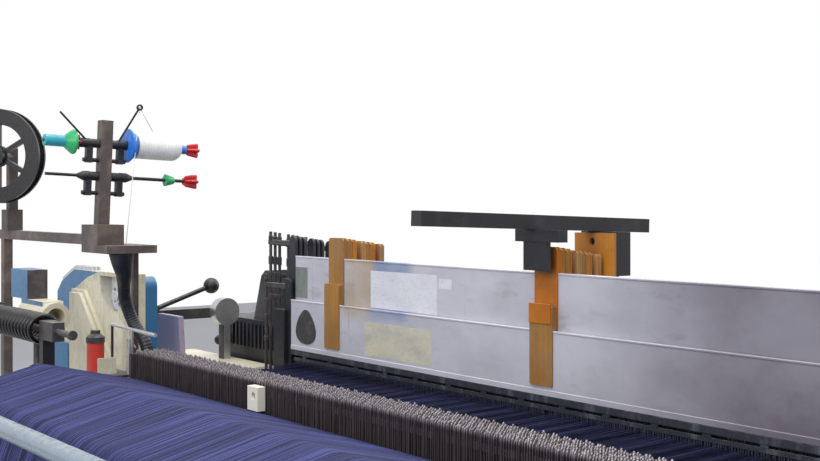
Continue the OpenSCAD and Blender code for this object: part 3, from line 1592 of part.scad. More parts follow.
// Weft feeder on its own post
feeder_x = -drive_in - 364;
feeder_y = -262;
feeder_z = 1176;
feeder_r = 44;
feeder_wall = 16;
feeder_mouth = 90;
feeder_len = 215;
feeder_post_x = feeder_x + 64;
feeder_post_r = 14;
feeder_foot_r = 90;
feeder_foot_t = 12;
feeder_box_z = 1222;
feeder_box_h = 90;
feeder_box_left = 92;
feeder_box_right = 53;
feeder_box = [-30, 34];
module weft_feeder() {
  color([0.85, 0.81, 0.66])
    difference() {
      union() {
        bar_x(feeder_r, feeder_x, feeder_len, feeder_y, feeder_z);
        block([feeder_x, feeder_y + feeder_box[0], feeder_z],
              [feeder_x + feeder_len - 30, feeder_y + feeder_box[1], feeder_box_z]);
      }
      bar_x(feeder_r - feeder_wall, feeder_x + feeder_len - feeder_mouth, feeder_mouth + 1, feeder_y, feeder_z);
    }
  color([0.12, 0.45, 0.75])
    block([feeder_x - feeder_box_left, feeder_y + feeder_box[0], feeder_box_z],
          [feeder_x + feeder_box_right, feeder_y + feeder_box[1], feeder_box_z + feeder_box_h]);
  color([0.2, 0.2, 0.2])
    difference() {
      union() {
        translate([feeder_post_x, feeder_y, feeder_foot_t])
          cylinder(r = feeder_post_r, h = feeder_z - feeder_foot_t);
        translate([feeder_post_x, feeder_y, 0])
          cylinder(r = feeder_foot_r, h = feeder_foot_t);
      }
      bar_x(feeder_r, feeder_x, feeder_len - feeder_mouth - 1, feeder_y, feeder_z);
    }
}

left_side_frame();
right_side_frame();
cross_tubes();
floor_feet();
beam_bearings();
warp_beam_barrel();
warp_beam_flanges();
wound_warp();
beam_gear();
let_off_pinion();
let_off_motor();
back_rest_brackets();
guard_tube();
deflection_roller();
back_rest_arms();
whip_roller();
tie_rod();
coil_spring();
rear_warp_sheet();
dropper_rails();
droppers();
dropper_separator();
heald_guides();
heald_frame(1);  // heald_frame_01
heald_frame(2);  // heald_frame_02
heald_frame(3);  // heald_frame_03
heald_frame(4);  // heald_frame_04
heald_frame(5);  // heald_frame_05
heald_frame(6);  // heald_frame_06
heald_frame(7);  // heald_frame_07
heald_frame(8);  // heald_frame_08
heald_frame(9);  // heald_frame_09
heald_frame(10);  // heald_frame_10
shed_yarns();
centre_arm();
centre_stand();
centre_pads();
sley();
reed();
breast_beam();
cloth_sheet();
take_up_roller();
press_roller();
cloth_roll();
left_drive_housing();
blue_covers();
drive_disc();
right_drive_housing();
rapier_housings();
shed_drive_housing();
ball_lever();
lever_stand();
control_cabinet();
temples();
creel_frame();
suction_hose();
yarn_packages();
flanged_spool();
lubricator();
weft_feeder();
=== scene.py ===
import math

import bmesh
import bpy
import numpy as np
from bpy.props import FloatProperty, FloatVectorProperty, IntProperty, PointerProperty
from mathutils import Matrix, Vector


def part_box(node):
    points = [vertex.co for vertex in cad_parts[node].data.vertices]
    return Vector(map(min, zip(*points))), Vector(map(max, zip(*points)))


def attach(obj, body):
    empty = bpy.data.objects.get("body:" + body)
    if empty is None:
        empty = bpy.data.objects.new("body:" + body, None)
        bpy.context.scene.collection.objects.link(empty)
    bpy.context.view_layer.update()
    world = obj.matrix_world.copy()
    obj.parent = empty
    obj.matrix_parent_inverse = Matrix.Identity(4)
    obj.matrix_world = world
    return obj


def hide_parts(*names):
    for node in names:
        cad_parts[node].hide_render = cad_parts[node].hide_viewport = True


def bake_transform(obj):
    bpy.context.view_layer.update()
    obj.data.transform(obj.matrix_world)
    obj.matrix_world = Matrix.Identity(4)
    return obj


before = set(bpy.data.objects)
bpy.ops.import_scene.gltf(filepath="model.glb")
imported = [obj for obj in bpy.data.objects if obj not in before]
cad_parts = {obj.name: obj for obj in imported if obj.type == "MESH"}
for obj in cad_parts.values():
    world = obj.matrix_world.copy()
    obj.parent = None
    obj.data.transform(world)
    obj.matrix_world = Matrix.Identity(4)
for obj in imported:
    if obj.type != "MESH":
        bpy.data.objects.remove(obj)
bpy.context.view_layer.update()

bl_info = {
    "name": "Rapier loom dressing",
    "version": (1, 0, 0),
    "blender": (4, 5, 0),
    "location": "View3D > Sidebar > Loom",
    "description": "Surfaces, yarns and finishes for a wide rapier loom seen from its warp side",
    "category": "Object",
}

ROOT = "loom"
rng = np.random.default_rng(152)

# Places and sizes of the frame, in metres
FRAME_COUNT, FRAME_PITCH, FIRST_FRAME_Y = 10, 0.0165, 0.35
FELL_Y, FELL_Z = 0.690, 0.968
WARP_HALF, WARP_Z = 1.090, 1.020
EYE_TO_STAVE = 0.172
STAVE_H, STAVE_T, LOWER_STAVE_H = 0.152, 0.009, 0.090
FRAME_HALF, BRACE_W, BRACE_RISE = 1.146, 0.036, 0.062
STRIP_X = (-0.880, 0.004, 0.880)
STRIP_W, STRIP_T, PAD_FOOT = 0.076, 0.015, 1.239
# Stickers: frame, left and right ends, foot and head
STICKERS = ((1, -0.716, -0.414, 1.092, 1.186), (2, -0.710, -0.410, 1.226, 1.330), (2, -0.403, -0.350, 1.296, 1.322))
LIFT_X, ROD_R, ROD_DROP, YOKE_RISE = 1.266, 0.005, 0.72, 0.030
# The centre guide's blade passes between the yarns here
BLADE_X = 0.018
DROPPER_ROWS, DROPPER_PITCH, DROPPER_BACK = 6, 0.015, 0.151
DROPPER_LOW, DROPPER_TOP, DROPPER_HALF = 0.990, 1.105, 1.138
BEAM, BEAM_R = (-0.560, 0.450), 0.300
DEFLECT, DEFLECT_R = (-0.631, 1.000), 0.047
WHIP, WHIP_R = (-0.447, 1.028), 0.062
GAP, SHEET_T = 0.0008, 0.0012
BREAST, BREAST_R = (0.913, 0.923), 0.045
TAKE_UP, TAKE_UP_R = (0.903, 0.770), 0.055
PRESS, PRESS_R = (0.8152, 0.782), 0.030
CLOTH_ROLL, CLOTH_ROLL_R = (0.780, 0.330), 0.150
SPRING_Y, SPRING_Z, SPRING_START, SPRING_LENGTH = -0.380, 1.168, -1.230, 0.420
SPRING_TURNS, SPRING_WIRE, SPRING_MEAN_R = 15, 0.007, 0.037
HOLLOW_X, HOLLOW_Z = -1.53, 1.286
# Creel bar: its middle at one height, and its lean towards the cloth side
BAR_X, BAR_Y, BAR_Z, BAR_LEAN = -1.242, -0.210, 1.458, math.radians(2.4)
THREAD_EYE = (-1.198, -0.112, 1.797)
# Camera solved from the photograph, with its focal length and width in pixels
EYE, VIEW, FOCAL, PHOTO_W, RISE = (2.050, -1.591, 1.520), (-0.79680, 0.60424, 0.0), 1200, 820, -27.5


def frame_y(i):
    return FIRST_FRAME_Y + FRAME_PITCH * (i - 1)


def eye_z(i):
    """Height of a frame's eyes: the first, fifth and ninth frames stand low, the others high."""
    lift = math.floor((68 - 0.15 * 16.5 * (i - 1)) * 10 + 0.5) / 10000
    return FELL_Z - lift if i % 4 == 1 else FELL_Z + lift


def colour_setting(name, description, default):
    return FloatVectorProperty(name=name, description=description, subtype="COLOR", size=3, min=0, max=1,
                               default=default)


class LoomSettings(bpy.types.PropertyGroup):
    yarn_blue: colour_setting("Warp yarn", "Colour of the indigo warp yarn", (0.020, 0.024, 0.088))
    yarn_light: colour_setting("Warp yarn ridges", "Colour of the paler yarns of the warp", (0.082, 0.096, 0.300))
    stave_grey: colour_setting("Staves", "Colour of the anodised heald staves", (0.68, 0.67, 0.75))
    cream: colour_setting("Housings", "Colour of the cream enamel", (0.76, 0.70, 0.52))
    blue: colour_setting("Covers", "Colour of the blue enamel", (0.035, 0.17, 0.36))
    orange: colour_setting("Wear strips", "Colour of the wear strips", (0.62, 0.26, 0.025))
    yarn_step: FloatProperty(name="Yarn spacing", description="Distance between yarns of one heald frame",
                             subtype="DISTANCE", unit="LENGTH", min=0.006, max=0.03, default=0.0160)
    heald_count: IntProperty(name="Healds", description="Healds shown on each heald frame", min=40, max=400,
                             default=320)
    dropper_count: IntProperty(name="Drop wires", description="Drop wires shown in each row", min=60, max=500,
                               default=330)
    lamp_level: FloatProperty(name="Lamp level", description="Strength of the studio lamps", min=0, max=10,
                              default=1.0)


# Meshes from whole arrays. A form is an array of points with a list of arrays of faces, each of one number of corners.

def put_mesh(name, form, material, body=None, slot=None, smooth=True, uv=None, sharp=None):
    """A mesh object from a form. It rides on a body, or on none. Edges over the sharp angle, in degrees, stay sharp."""
    points = np.ascontiguousarray(form[0], dtype=np.float32).reshape(-1, 3)
    loops = np.concatenate([faces.ravel() for faces in form[1]]).astype(np.int32)
    sizes = np.concatenate([np.full(len(faces), faces.shape[1]) for faces in form[1]])
    starts = np.concatenate([[0], np.cumsum(sizes)[:-1]]).astype(np.int32)
    mesh = bpy.data.meshes.new(name)
    mesh.vertices.add(len(points))
    mesh.vertices.foreach_set("co", points.ravel())
    mesh.loops.add(len(loops))
    mesh.loops.foreach_set("vertex_index", loops)
    mesh.polygons.add(len(sizes))
    mesh.polygons.foreach_set("loop_start", starts)
    mesh.update(calc_edges=True)
    mesh.validate()
    mesh.polygons.foreach_set("use_smooth", np.full(len(mesh.polygons), smooth))
    if uv is not None:
        mesh.uv_layers.new(name="UVMap").data.foreach_set("uv", uv[loops].astype(np.float32).ravel())
    mesh.materials.append(material)
    piece = bpy.data.objects.new(name, mesh)
    bpy.context.collection.objects.link(piece)
    if sharp:
        mesh.set_sharp_from_angle(angle=math.radians(sharp))
    if body:
        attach(piece, body)
    return piece


def grid_faces(rows, columns, close_columns=False):
    """Quads between neighbouring rows and columns of a grid, whose last column joins the first where it is closed."""
    i = np.arange(rows - 1)[:, None]
    j = np.arange(columns if close_columns else columns - 1)[None, :]
    near, far = i * columns, (i + 1) * columns
    j1 = (j + 1) % columns
    return np.stack([near + j, far + j, far + j1, near + j1], -1).reshape(-1, 4)


def shell_faces(rows, columns):
    """Faces of two equal grids, one behind the other, with a rim of quads round their edges."""
    count = rows * columns
    low = grid_faces(rows, columns)
    edge = np.concatenate([np.arange(columns), columns * np.arange(1, rows) + columns - 1,
                           (rows - 1) * columns + np.arange(columns - 2, -1, -1),
                           columns * np.arange(rows - 2, 0, -1)])
    after = np.roll(edge, -1)
    return [low, low[:, ::-1] + count, np.stack([edge, after, after + count, edge + count], -1)]


def ring_form(points):
    """Quads between a stack of closed rings, with a flat end at the first and the last."""
    rows, sides = points.shape[:2]
    ends = np.array([np.arange(sides)[::-1], (rows - 1) * sides + np.arange(sides)])
    return points.reshape(-1, 3), [grid_faces(rows, sides, close_columns=True)[:, ::-1], ends]


def unit(v):
    v = np.asarray(v, float)
    return v / np.linalg.norm(v, axis=-1, keepdims=True)


def circle(count):
    """Cosines and sines of equal steps round a circle."""
    angle = 2 * np.pi * np.arange(count) / count
    return np.cos(angle), np.sin(angle)


def tube(path, radius, sides=12, up=(0, 0, 1)):
    """A circle carried along a path. Each ring stands square to the path's direction, and the ends are closed flat."""
    path = np.asarray(path, float)
    along = unit(np.gradient(path, axis=0))
    side = unit(np.cross(along, np.broadcast_to(np.asarray(up, float), along.shape)))
    over = np.cross(side, along)
    cos, sin = circle(sides)
    radius = np.broadcast_to(np.asarray(radius, float), (len(path),))
    ring = cos[None, :, None] * side[:, None] + sin[None, :, None] * over[:, None]
    return ring_form(path[:, None] + radius[:, None, None] * ring)


def lathe(profile, centre, axis, sides=48):
    """A profile of (distance along the axis, radius) turned round the axis, with its ends closed flat."""
    profile = np.asarray(profile, float)
    axis = unit(axis)
    first = unit(np.cross(axis, (0.0, 0.0, 1.0) if abs(axis[2]) < 0.9 else (0.0, 1.0, 0.0)))
    cos, sin = circle(sides)
    ring = cos[:, None] * first + sin[:, None] * np.cross(axis, first)
    level, radius = profile[:, 0, None, None], profile[:, 1, None, None]
    return ring_form(np.asarray(centre, float) + level * axis + radius * ring[None])


def prism(outline, lo, hi, axis="x"):
    """An outline in the plane square to an axis, carried from one level to another and closed flat at both."""
    outline = np.asarray(outline, float)
    n = len(outline)
    flat = np.concatenate([np.column_stack([outline, np.full(n, level)]) for level in (lo, hi)])
    following = np.roll(outline, -1, 0)
    area = np.sum(outline[:, 0] * following[:, 1] - following[:, 0] * outline[:, 1])
    turn = (1 if area > 0 else -1) * (-1 if axis == "y" else 1)
    k = np.arange(n)
    walls = np.stack([k, (k + 1) % n, n + (k + 1) % n, n + k], -1)[:, ::turn]
    order = {"x": (2, 0, 1), "y": (0, 2, 1), "z": (0, 1, 2)}[axis]
    return flat[:, order], [walls, np.array([k[::-1], n + k])[:, ::turn]]


def block(lo, hi, cut=0.0008):
    """A block with chamfered long edges: an eight-cornered outline carried along its longest side."""
    lo, hi = np.asarray(lo, float), np.asarray(hi, float)
    axis = int(np.argmax(hi - lo))
    a, b = ((1, 2), (0, 2), (0, 1))[axis]
    cut = min(cut, 0.3 * min(hi[a] - lo[a], hi[b] - lo[b]))
    x0, x1, y0, y1 = lo[a], hi[a], lo[b], hi[b]
    outline = [(x0 + cut, y0), (x1 - cut, y0), (x1, y0 + cut), (x1, y1 - cut), (x1 - cut, y1), (x0 + cut, y1),
               (x0, y1 - cut), (x0, y0 + cut)]
    return prism(outline, lo[axis], hi[axis], "xyz"[axis])


def repeated(form, offsets, scales=None):
    """Copies of one small form at many places."""
    points, face_sets = form
    offsets = np.asarray(offsets, float)
    scales = np.ones_like(offsets) if scales is None else scales
    many = offsets[:, None] + points[None] * scales[:, None]
    step = len(points) * np.arange(len(offsets))[:, None, None]
    return many.reshape(-1, 3), [(faces[None] + step).reshape(-1, faces.shape[1]) for faces in face_sets]


def in_row(form, x, y=0.0, z=0.0):
    """Copies of one form at many places across X, at one Y and one Z."""
    return repeated(form, np.column_stack([x, np.full(len(x), y), np.full(len(x), z)]))


def joined(*forms):
    """Several forms as one, with their faces renumbered."""
    starts = np.cumsum([0] + [len(points) for points, _ in forms])
    return (np.concatenate([points for points, _ in forms]),
            [faces + start for (_, face_sets), start in zip(forms, starts) for faces in face_sets])


def outward(form):
    """The same closed form with its faces turned round if its volume, summed over fans of triangles, is negative."""
    points, face_sets = form
    volume = sum(np.sum(points[faces[:, 0]] * np.cross(points[faces[:, k]], points[faces[:, k + 1]]))
                 for faces in face_sets for k in range(1, faces.shape[1] - 1))
    return points, ([faces[:, ::-1] for faces in face_sets] if volume < 0 else face_sets)


def soften(piece, width):
    """Rounded edges where two faces meet at more than an angle."""
    bevel = piece.modifiers.new("soft_edges", "BEVEL")
    bevel.width, bevel.segments = width, 2
    bevel.limit_method, bevel.angle_limit = "ANGLE", math.radians(32)
    bevel.use_clamp_overlap, bevel.harden_normals = True, True


def dressed(name, node, finish, slot, body=ROOT, width=0.0015, others=(), convex=False):
    """A merged copy of a CAD solid with rounded edges. A face takes the last of the other finishes whose test holds at
    its middle. A face with a hollow outline is cut into convex ones where that is asked for."""
    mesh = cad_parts[node].data.copy()
    mesh.name = name
    work = bmesh.new()
    work.from_mesh(mesh)
    bmesh.ops.remove_doubles(work, verts=work.verts, dist=2e-6)
    bmesh.ops.dissolve_limit(work, angle_limit=math.radians(0.5), verts=work.verts, edges=work.edges)
    if convex:
        bmesh.ops.connect_verts_concave(work, faces=[face for face in work.faces if len(face.verts) > 4])
    work.to_mesh(mesh)
    work.free()
    mesh.materials.clear()
    middles = np.empty(3 * len(mesh.polygons), np.float32)
    mesh.polygons.foreach_get("center", middles)
    x, y, z = middles.reshape(-1, 3).T
    index = np.zeros(len(x), np.int32)
    mesh.materials.append(paint(finish))
    for k, (other, test) in enumerate(others, 1):
        mesh.materials.append(paint(other))
        index[test(x, y, z)] = k
    mesh.polygons.foreach_set("material_index", index)
    mesh.polygons.foreach_set("use_smooth", np.ones(len(mesh.polygons), bool))
    mesh.set_sharp_from_angle(angle=math.radians(30))
    piece = bpy.data.objects.new(name, mesh)
    bpy.context.collection.objects.link(piece)
    soften(piece, width)
    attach(piece, body)
    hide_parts(node)


# Node trees

class Value:
    """An output in a node tree. Its sums, differences, products and quotients are Math nodes."""

    def __init__(self, socket):
        self.socket = socket
        self.tree = socket.id_data

    def math(self, operation, other, clamp=False):
        return output(add(self.tree, "ShaderNodeMath", {0: self, 1: other}, operation=operation, use_clamp=clamp))

    def __add__(self, other):
        return self.math("ADD", other)

    def __sub__(self, other):
        return self.math("SUBTRACT", other)

    def __rsub__(self, other):
        return output(add(self.tree, "ShaderNodeMath", {0: other, 1: self}, operation="SUBTRACT"))

    def __mul__(self, other):
        return self.math("MULTIPLY", other)

    def __truediv__(self, other):
        return self.math("DIVIDE", other)


def output(node, key=0):
    return Value(node.outputs[key])


def feed(socket, value):
    """Links a value to an input, or sets a plain one on it."""
    if isinstance(value, Value):
        value.tree.links.new(value.socket, socket)
    else:
        socket.default_value = value


def add(tree, kind, inputs=None, **settings):
    """A node with its settings and inputs."""
    node = tree.nodes.new(kind)
    for key, value in settings.items():
        setattr(node, key, value)
    for key, value in (inputs or {}).items():
        feed(node.inputs[key], value)
    return node


def ramp(value, low, high):
    """A smooth step from 0 to 1 between two levels."""
    return output(add(value.tree, "ShaderNodeMapRange", {"Value": value, "From Min": low, "From Max": high},
                      interpolation_type="SMOOTHSTEP"), "Result")


def spread(value, low, high):
    """A noise's middle range, from 0.3 to 0.7, spread from one level to another."""
    return output(add(value.tree, "ShaderNodeMapRange", {"Value": value, "From Min": 0.3, "From Max": 0.7,
                                                         "To Min": low, "To Max": high}), "Result")


def shade(factor, colour):
    return tuple(factor * c for c in colour)


def mixed(amount, a, b):
    """A colour between two, each a value or three plain numbers."""
    a, b = (one if isinstance(one, Value) else (*one[:3], 1.0) for one in (a, b))
    return output(add(amount.tree, "ShaderNodeMix", {0: amount, 6: a, 7: b}, data_type="RGBA"), 2)


def place_of(tree):
    return output(add(tree, "ShaderNodeTexCoord"), "Object")


def part_of(value, axis):
    return output(add(value.tree, "ShaderNodeSeparateXYZ", {0: value}), axis)


def stretched(tree, amounts):
    """Object coordinates, each stretched by its own amount."""
    return output(add(tree, "ShaderNodeVectorMath", {0: place_of(tree), 1: amounts}, operation="MULTIPLY"))


def noise(vector, scale, detail, roughness=0.5):
    return output(add(vector.tree, "ShaderNodeTexNoise", {"Vector": vector, "Scale": scale, "Detail": detail,
                                                          "Roughness": roughness}), "Fac")


def bumped(tree, height, strength, distance):
    return output(add(tree, "ShaderNodeBump", {"Strength": strength, "Distance": distance, "Height": height}), "Normal")


def wave(turns):
    """A sine of whole turns, between 0 and 1."""
    return ((turns * (2 * math.pi)).math("SINE", 0.0) + 1.0) * 0.5


def effect(tree, name, inputs, build, *values):
    """A shader node group with named inputs and outputs, built once and placed in a tree with its own values."""
    group = bpy.data.node_groups.get(name)
    if group is None:
        group = bpy.data.node_groups.new(name, "ShaderNodeTree")
        for label, value in inputs.items():
            kind = "NodeSocketVector" if isinstance(value, tuple) else "NodeSocketFloat"
            group.interface.new_socket(label, in_out="INPUT", socket_type=kind).default_value = value
        entry = group.nodes.new("NodeGroupInput")
        results = build(group, {label: output(entry, label) for label in inputs})
        for label in results:
            kind = "NodeSocketVector" if label == "Normal" else "NodeSocketFloat"
            group.interface.new_socket(label, in_out="OUTPUT", socket_type=kind)
        leave = group.nodes.new("NodeGroupOutput")
        for label, value in results.items():
            feed(leave.inputs[label], value)
    node = tree.nodes.new("ShaderNodeGroup")
    node.node_tree = group
    for label, value in zip(inputs, values):
        feed(node.inputs[label], value)
    return {one.name: Value(one) for one in node.outputs}


def patches(tree, *values):
    """Cloudy patches: fractal noise in stretched object space, stepped between two levels."""
    def build(t, i):
        fine = noise(stretched(t, i["Stretch"]), 1.0, 5.0, 0.62)
        level = 1.0 - i["Cover"]
        return {"Mask": ramp(fine, level - i["Softness"], level + i["Softness"]), "Fine": fine}
    return effect(tree, "cloudy_patches", {"Stretch": (8, 8, 8), "Cover": 0.4, "Softness": 0.1}, build, *values)


def lint(tree, *values):
    """Cotton dust that lies on what faces up: the normal's height times a fine noise."""
    def build(t, i):
        up = part_of(output(add(t, "ShaderNodeNewGeometry"), "Normal"), "Z")
        clumps = ramp(noise(place_of(t), i["Scale"], 4.0), 0.38, 0.68)
        return {"Mask": ramp(up, 0.35, 0.95) * clumps * i["Amount"]}
    return effect(tree, "cotton_lint", {"Scale": 45.0, "Amount": 0.5}, build, *values)["Mask"]


def orange_peel(tree, *values):
    """Fine orange-peel height of paint on a casting, as a bumped normal."""
    def build(t, i):
        return {"Normal": bumped(t, noise(place_of(t), i["Scale"], 2.0), i["Strength"], 0.001)}
    return effect(tree, "orange_peel", {"Scale": 220.0, "Strength": 0.15}, build, *values)["Normal"]


def laid_yarns(tree, *values):
    """Yarns laid along Y: a sine ridge for each yarn across X, and a noise that changes across X and slowly along Y."""
    def build(t, i):
        ridge = wave(part_of(place_of(t), "X") / i["Pitch"])
        return {"Ridge": ridge, "Tint": noise(stretched(t, i["Stretch"]), 1.0, 4.0, 0.6)}
    return effect(tree, "laid_yarns", {"Pitch": 0.004, "Stretch": (160, 3, 3)}, build, *values)


def twill(tree, *values):
    """Twill weave: diagonal ridges from the sum of two map coordinates, with paler weft between them."""
    def build(t, i):
        uv = add(t, "ShaderNodeSeparateXYZ", {0: output(add(t, "ShaderNodeTexCoord"), "UV")})
        return {"Ridge": wave((output(uv, "X") + output(uv, "Y") * 0.6) / i["Pitch"])}
    return effect(tree, "twill_weave", {"Pitch": 0.003}, build, *values)["Ridge"]


# Finishes

def once(make):
    """The same maker, which finds the material that already has its name instead of making a second one."""
    def found_or_made(name, *values):
        return bpy.data.materials.get(name) or make(name, *values)
    return found_or_made


def shader(name, metallic=0.0, **plain):
    """A material with one Principled shader whose uniform values are set on its own sockets."""
    material = bpy.data.materials.new(name)
    material.use_nodes = True
    tree = material.node_tree
    tree.nodes.clear()
    surface = add(tree, "ShaderNodeBsdfPrincipled", {"Metallic": metallic})
    for key, value in plain.items():
        surface.inputs[key.replace("_", " ")].default_value = value
    feed(add(tree, "ShaderNodeOutputMaterial").inputs[0], output(surface))
    return material, tree, surface


def cover(surface, base, height=None, strength=0.0, distance=0.001):
    """Gives a shader its colour and, where there is a height, its bumps."""
    feed(surface.inputs["Base Color"], base)
    if height is not None:
        feed(surface.inputs["Normal"], bumped(height.tree, height, strength, distance))


def settings():
    return bpy.context.scene.loom


@once
def enamel(name, colour, worn, rough, stretch, share, softness, dusting, peel, metallic=0.0):
    """Paint or bare metal with cloudy wear, cotton lint on top and the fine bumps of its casting."""
    stretch = stretch if isinstance(stretch, tuple) else (stretch,) * 3
    material, tree, surface = shader(name, metallic)
    fine = patches(tree, shade(9, stretch), 0.42, 0.06)
    dust = lint(tree, 60.0, dusting)
    base = mixed(patches(tree, stretch, share, softness)["Mask"], colour, worn)
    base = mixed(fine["Mask"] * 0.25, base, shade(0.6, worn))
    cover(surface, mixed(dust, base, (0.62, 0.60, 0.56)))
    feed(surface.inputs["Roughness"], spread(fine["Fine"], *rough).math("ADD", dust * 0.3, True))
    feed(surface.inputs["Normal"], orange_peel(tree, 260.0, peel))
    return material


# Colour, worn colour, roughness from and to, stretch of the wear, its share and softness, lint, peel and metallic
METALS_AND_PAINTS = {
    "black_enamel": ((0.011, 0.011, 0.016), (0.032, 0.032, 0.042), (0.3, 0.55), 14, 0.35, 0.12, 0.12, 0.2),
    "oiled_dark_metal": ((0.045, 0.042, 0.045), (0.11, 0.095, 0.085), (0.35, 0.6), 18, 0.4, 0.12, 0.3, 0.3),
    "rust_brown_metal": ((0.075, 0.060, 0.055), (0.16, 0.12, 0.10), (0.4, 0.65), 12, 0.45, 0.12, 0.25, 0.3),
    "grey_green_paint": ((0.23, 0.27, 0.24), (0.12, 0.13, 0.12), (0.35, 0.6), (8, 8, 5), 0.35, 0.14, 0.35, 0.2),
    "bare_steel": ((0.52, 0.53, 0.55), (0.36, 0.35, 0.34), (0.22, 0.42), (40, 5, 5), 0.4, 0.15, 0.1, 0.05, 0.9),
    "chromed_roller": ((0.68, 0.70, 0.73), (0.5, 0.5, 0.52), (0.10, 0.24), (3, 30, 30), 0.35, 0.15, 0.05, 0.03, 1.0),
    "dark_cast_iron": ((0.10, 0.10, 0.105), (0.18, 0.16, 0.14), (0.4, 0.65), 20, 0.4, 0.1, 0.15, 0.5, 0.5),
    "machined_alloy": ((0.60, 0.61, 0.63), (0.44, 0.44, 0.45), (0.28, 0.45), 8, 0.4, 0.15, 0.12, 0.08, 0.85),
    "guard_tube_paint": ((0.20, 0.26, 0.31), (0.14, 0.18, 0.23), (0.2, 0.38), (3, 12, 12), 0.4, 0.2, 0.25, 0.03),
    "dark_heald_rail": ((0.030, 0.034, 0.045), (0.10, 0.11, 0.13), (0.3, 0.5), (30, 8, 8), 0.4, 0.1, 0.3, 0.1),
    "heald_wire_steel": ((0.035, 0.042, 0.060), (0.11, 0.13, 0.17), (0.3, 0.5), (300, 40, 6), 0.42, 0.12, 0.05, 0.02,
                         0.3),
    "yellowed_sticker": ((0.72, 0.68, 0.52), (0.44, 0.45, 0.42), (0.4, 0.6), (9, 9, 22), 0.40, 0.3, 0.0, 0.02),
    "pale_sticker": ((0.84, 0.85, 0.90), (0.68, 0.69, 0.77), (0.4, 0.6), (9, 9, 22), 0.40, 0.3, 0.0, 0.02),
    "gloss_black_spring": ((0.008, 0.008, 0.010), (0.026, 0.026, 0.030), (0.12, 0.25), 20, 0.3, 0.1, 0.06, 0.03),
    "linty_hollow": ((0.60, 0.57, 0.50), (0.30, 0.27, 0.22), (0.6, 0.8), 25, 0.35, 0.12, 0.6, 0.3),
    "white_slats": ((0.70, 0.71, 0.70), (0.5, 0.5, 0.5), (0.3, 0.5), 20, 0.35, 0.15, 0.3, 0.1),
    "cabinet_enamel": ((0.62, 0.63, 0.60), (0.5, 0.5, 0.48), (0.3, 0.45), 4, 0.35, 0.2, 0.3, 0.08),
    "cotton_fluff": ((0.80, 0.79, 0.76), (0.62, 0.60, 0.56), (0.8, 0.95), 60, 0.4, 0.2, 0.0, 0.6),
    "ribbed_black_hose": ((0.012, 0.012, 0.02), (0.03, 0.03, 0.045), (0.3, 0.5), 30, 0.4, 0.1, 0.2, 0.05),
}
# The user's colour, what wear does to it, and the same values as above from roughness on
HOUSING_PAINTS = {
    "cream_enamel": ("cream", (0.72, 0.70, 0.66), (0.25, 0.45), (6, 6, 3), 0.36, 0.16, 0.35, 0.10),
    "blue_enamel": ("blue", (1.6, 1.2, 1.05), (0.25, 0.45), 9, 0.3, 0.12, 0.35, 0.1),
}
# Colour, roughness from and to, and lint
PLASTICS = {
    "cream_plastic": ((0.74, 0.69, 0.54), (0.3, 0.45), 0.2),
    "purple_grey_cover": ((0.38, 0.32, 0.44), (0.3, 0.45), 0.2),
    "terminal_box": ((0.74, 0.69, 0.54), (0.35, 0.5), 0.3),
    "blue_package_plastic": ((0.03, 0.20, 0.70), (0.25, 0.4), 0.05),
    "green_cone_plastic": ((0.02, 0.42, 0.14), (0.25, 0.4), 0.05),
    "cyan_tube_plastic": ((0.04, 0.38, 0.46), (0.3, 0.45), 0.1),
    "red_clip_plastic": ((0.60, 0.02, 0.03), (0.25, 0.4), 0.05),
    "red_can": ((0.62, 0.025, 0.012), (0.18, 0.3), 0.1),
    "black_spool_plastic": ((0.016, 0.016, 0.018), (0.18, 0.32), 0.08),
}
# Tint of the orange and share of grey dirt
STRIP_TONES = {
    "orange_wear_strip": ((0.95, 0.88, 0.6), 0.25),
    "bright_wear_strip": ((1.05, 0.78, 0.2), 0.06),
    "brown_wear_strip": ((0.78, 0.86, 1.3), 0.42),
    "tan_wear_strip": ((0.85, 1.15, 4.0), 0.3),
}


def paint(name):
    """The finish of a name, from the tables above."""
    if name in STRIP_TONES:
        return strip_finish(name, *STRIP_TONES[name])
    if name in PLASTICS:
        colour, rough, dusting = PLASTICS[name]
        return enamel(name, colour, shade(0.72, colour), rough, 22, 0.35, 0.12, dusting, 0.06)
    if name in HOUSING_PAINTS:
        setting, wear, *rest = HOUSING_PAINTS[name]
        colour = tuple(getattr(settings(), setting))
        return enamel(name, colour, tuple(a * b for a, b in zip(colour, wear)), *rest)
    return enamel(name, *METALS_AND_PAINTS[name])


@once
def yarn_finish(name, depth):
    """Indigo warp: paler and darker groups of yarns along Y with a ridge for each group; depth scales its colours,
    and a depth below one darkens them as painted shade.
    """
    blue, pale = settings().yarn_blue, settings().yarn_light
    material, tree, surface = shader(name, Roughness=0.8, Specular_IOR_Level=0.25)
    fine = laid_yarns(tree, 0.0022, (420, 2.5, 2.5))
    broad = laid_yarns(tree, 0.011, (95, 1.6, 1.6))
    light = ramp(fine["Tint"], 0.44, 0.60) * ramp(broad["Tint"], 0.40, 0.58)
    dark = mixed(ramp(broad["Tint"], 0.34, 0.52), shade(0.5 * depth, blue), shade(depth, blue))
    cover(surface, mixed(light, dark, shade(depth, pale)), fine["Ridge"] * 0.5 + fine["Tint"], 0.8, 0.0014)
    return material


@once
def denim_finish(name):
    """Woven denim: twill ridges of indigo warp with paler weft between them."""
    material, tree, surface = shader(name, Roughness=0.8, Sheen_Weight=0.3, Sheen_Roughness=0.5)
    weave = twill(tree, 0.0032)
    weft = mixed(patches(tree, (60, 4, 4), 0.45, 0.2)["Mask"], settings().yarn_light, (0.26, 0.30, 0.44))
    cover(surface, mixed(weave * 0.55, settings().yarn_blue, weft), weave, 0.4, 0.0008)
    return material


